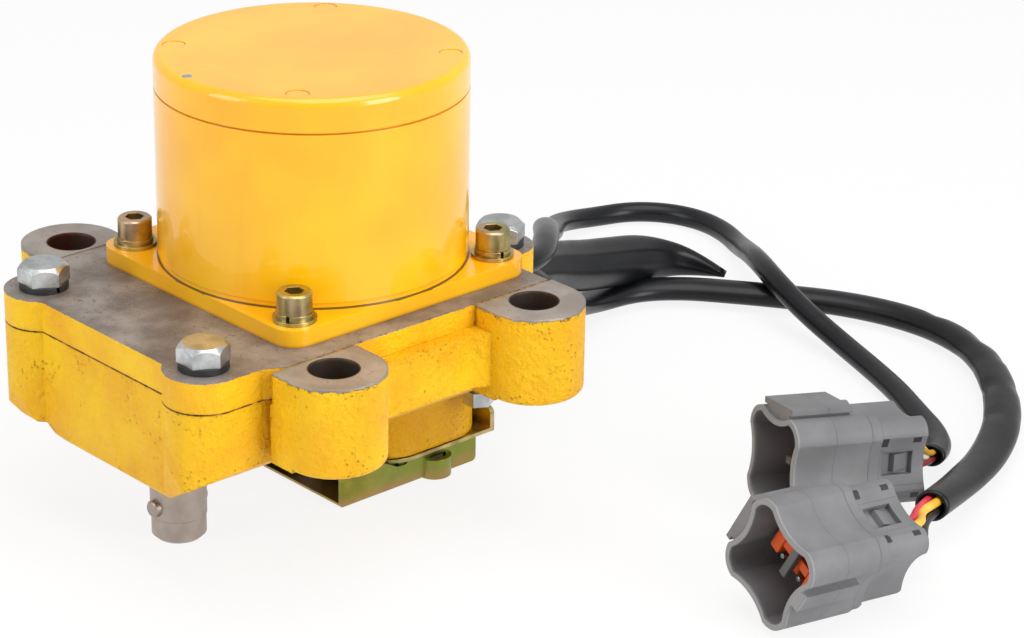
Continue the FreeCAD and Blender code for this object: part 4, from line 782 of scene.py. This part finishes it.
def single_wires(name, plug, end, heading, spread, radius, colours):
    axis = plug.col[1].to_3d()
    rear = plug @ Vector((0, PLUG_REAR, 0))
    side = axis.cross(Vector((0, 0, 1))).normalized()
    top = side.cross(axis)
    across = heading.cross(Vector((0, 0, 1))).normalized()
    up = across.cross(heading)
    made = []
    for k, tone in enumerate(colours):
        angle = 2 * math.pi * (k + 0.5) / len(colours)
        start = rear + side * (WIRE_RING * math.cos(angle)) + top * (WIRE_RING * math.sin(angle))
        finish = end - across * (spread * math.cos(angle)) + up * (spread * math.sin(angle))
        gap = (finish - start).length
        bulge = side * (0.0016 * math.cos(angle * 2.0 + 0.6))
        points = [start - axis * 0.002, start + axis * (0.30 * gap) + bulge,
                  finish + heading * (0.35 * gap) + bulge, finish, finish - heading * 0.005]
        wire = route_curve(name + "_wire_" + str(k + 1), [tuple(p / MM) for p in points], radius)
        skin = moulded(name + "_insulation_" + str(k + 1), *tone, 0.38, 900, 0.12, dust=0.0)
        wire.data.materials.append(skin)
        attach(wire, "base")
        made.append(wire)
    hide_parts(name + "_wires")
    return made


motor_wires = single_wires(
    "motor", MOTOR_PLUG, Vector((0.1455, 0.1175, -0.0595)),
    Vector((0.342, -0.928, 0.147)), 0.0020, 0.00130,
    [("D8A028", "EFC24A"), ("C8283E", "DE4658"), ("1E6B3E", "2F8A54"), ("1B1B1D", "2A2A2D")])
sensor_wires = single_wires(
    "sensor", SENSOR_PLUG, Vector((0.1195, 0.1475, -0.062)),
    Vector((0.453, -0.871, 0.279)), 0.0012, 0.00090,
    [("B8861C", "D8A832"), ("C8C4B8", "E2DED2"), ("6E1C1C", "8E2A2A")])
print("wires", len(motor_wires) + len(sensor_wires))


# %% [markdown]
# ## Floor and light
# The photograph has a white ground and very soft shadows, so the floor is pale and three large lamps light
# the object from above and from both sides. The camera sees floor and world as white or nearly so, and
# reflections see them brighter than they light the object. Light Path does both, and adds no light.

# %% The floor
FLOOR_BRIGHTNESS = 0.86
bpy.ops.object.select_all(action="DESELECT")
bpy.ops.mesh.primitive_plane_add(size=12.0, location=(0, 0, 0))
floor = bpy.context.active_object
floor.name = "floor"
floor.data.transform(Matrix.Translation((0, 0, FLOOR_Z - 0.0002)))
ground = bpy.data.materials.new("floor_white")
ground.use_nodes = True
tree = ground.node_tree
pale = tree.nodes["Principled BSDF"]
pale.inputs["Base Color"].default_value = (0.86, 0.86, 0.86, 1)
pale.inputs["Roughness"].default_value = 0.9
white = tree.nodes.new("ShaderNodeEmission")
white.inputs["Strength"].default_value = 1.0
path = tree.nodes.new("ShaderNodeLightPath")
share = tree.nodes.new("ShaderNodeMath")
share.operation = "MULTIPLY"
share.inputs[1].default_value = FLOOR_BRIGHTNESS
either = tree.nodes.new("ShaderNodeMath")
either.operation = "MAXIMUM"
blend = tree.nodes.new("ShaderNodeMixShader")
tree.links.new(path.outputs["Is Camera Ray"], either.inputs[0])
tree.links.new(path.outputs["Is Glossy Ray"], either.inputs[1])
tree.links.new(either.outputs[0], share.inputs[0])
tree.links.new(share.outputs[0], blend.inputs[0])
tree.links.new(pale.outputs[0], blend.inputs[1])
tree.links.new(white.outputs[0], blend.inputs[2])
tree.links.new(blend.outputs[0], tree.nodes["Material Output"].inputs["Surface"])
floor.data.materials.append(ground)

# %% The world
WORLD_LIGHT = 0.38
MIRRORED_SHARE = 0.5
world = bpy.data.worlds.new("studio")
bpy.context.scene.world = world
world.use_nodes = True
tree = world.node_tree
dim = tree.nodes["Background"]
dim.inputs["Color"].default_value = (1, 1, 1, 1)
dim.inputs["Strength"].default_value = WORLD_LIGHT
bright = tree.nodes.new("ShaderNodeBackground")
bright.inputs["Color"].default_value = (1, 1, 1, 1)
path = tree.nodes.new("ShaderNodeLightPath")
seen = tree.nodes.new("ShaderNodeMath")
seen.operation = "MAXIMUM"
mirrored = tree.nodes.new("ShaderNodeMath")
mirrored.operation = "MULTIPLY_ADD"
mirrored.inputs[1].default_value = MIRRORED_SHARE
mirrored.use_clamp = True
blend = tree.nodes.new("ShaderNodeMixShader")
tree.links.new(path.outputs["Is Camera Ray"], seen.inputs[0])
tree.links.new(path.outputs["Is Transmission Ray"], seen.inputs[1])
tree.links.new(path.outputs["Is Glossy Ray"], mirrored.inputs[0])
tree.links.new(seen.outputs[0], mirrored.inputs[2])
tree.links.new(mirrored.outputs[0], blend.inputs[0])
tree.links.new(dim.outputs[0], blend.inputs[1])
tree.links.new(bright.outputs[0], blend.inputs[2])
tree.links.new(blend.outputs[0], tree.nodes["World Output"].inputs["Surface"])


# %% The lamps
def lamp(name, place, aim, size, power):
    data = bpy.data.lights.new(name, "AREA")
    data.shape = "RECTANGLE"
    data.size, data.size_y = size
    data.energy = power
    light = bpy.data.objects.new(name, data)
    bpy.context.scene.collection.objects.link(light)
    light.location = place
    light.rotation_mode = "QUATERNION"
    light.rotation_quaternion = (Vector(aim) - Vector(place)).to_track_quat("-Z", "Y")
    return light


lamp("top_box", (0.15, 0.05, 1.1), (0, 0.05, 0), (1.0, 1.0), 9.0)
lamp("left_box", (-0.25, -1.05, 0.45), (0, 0, -0.01), (0.5, 0.9), 5.4)
lamp("right_box", (1.15, 0.25, 0.40), (0, 0.05, -0.01), (0.5, 0.9), 9.8)
bpy.context.scene.view_settings.view_transform = "Standard"
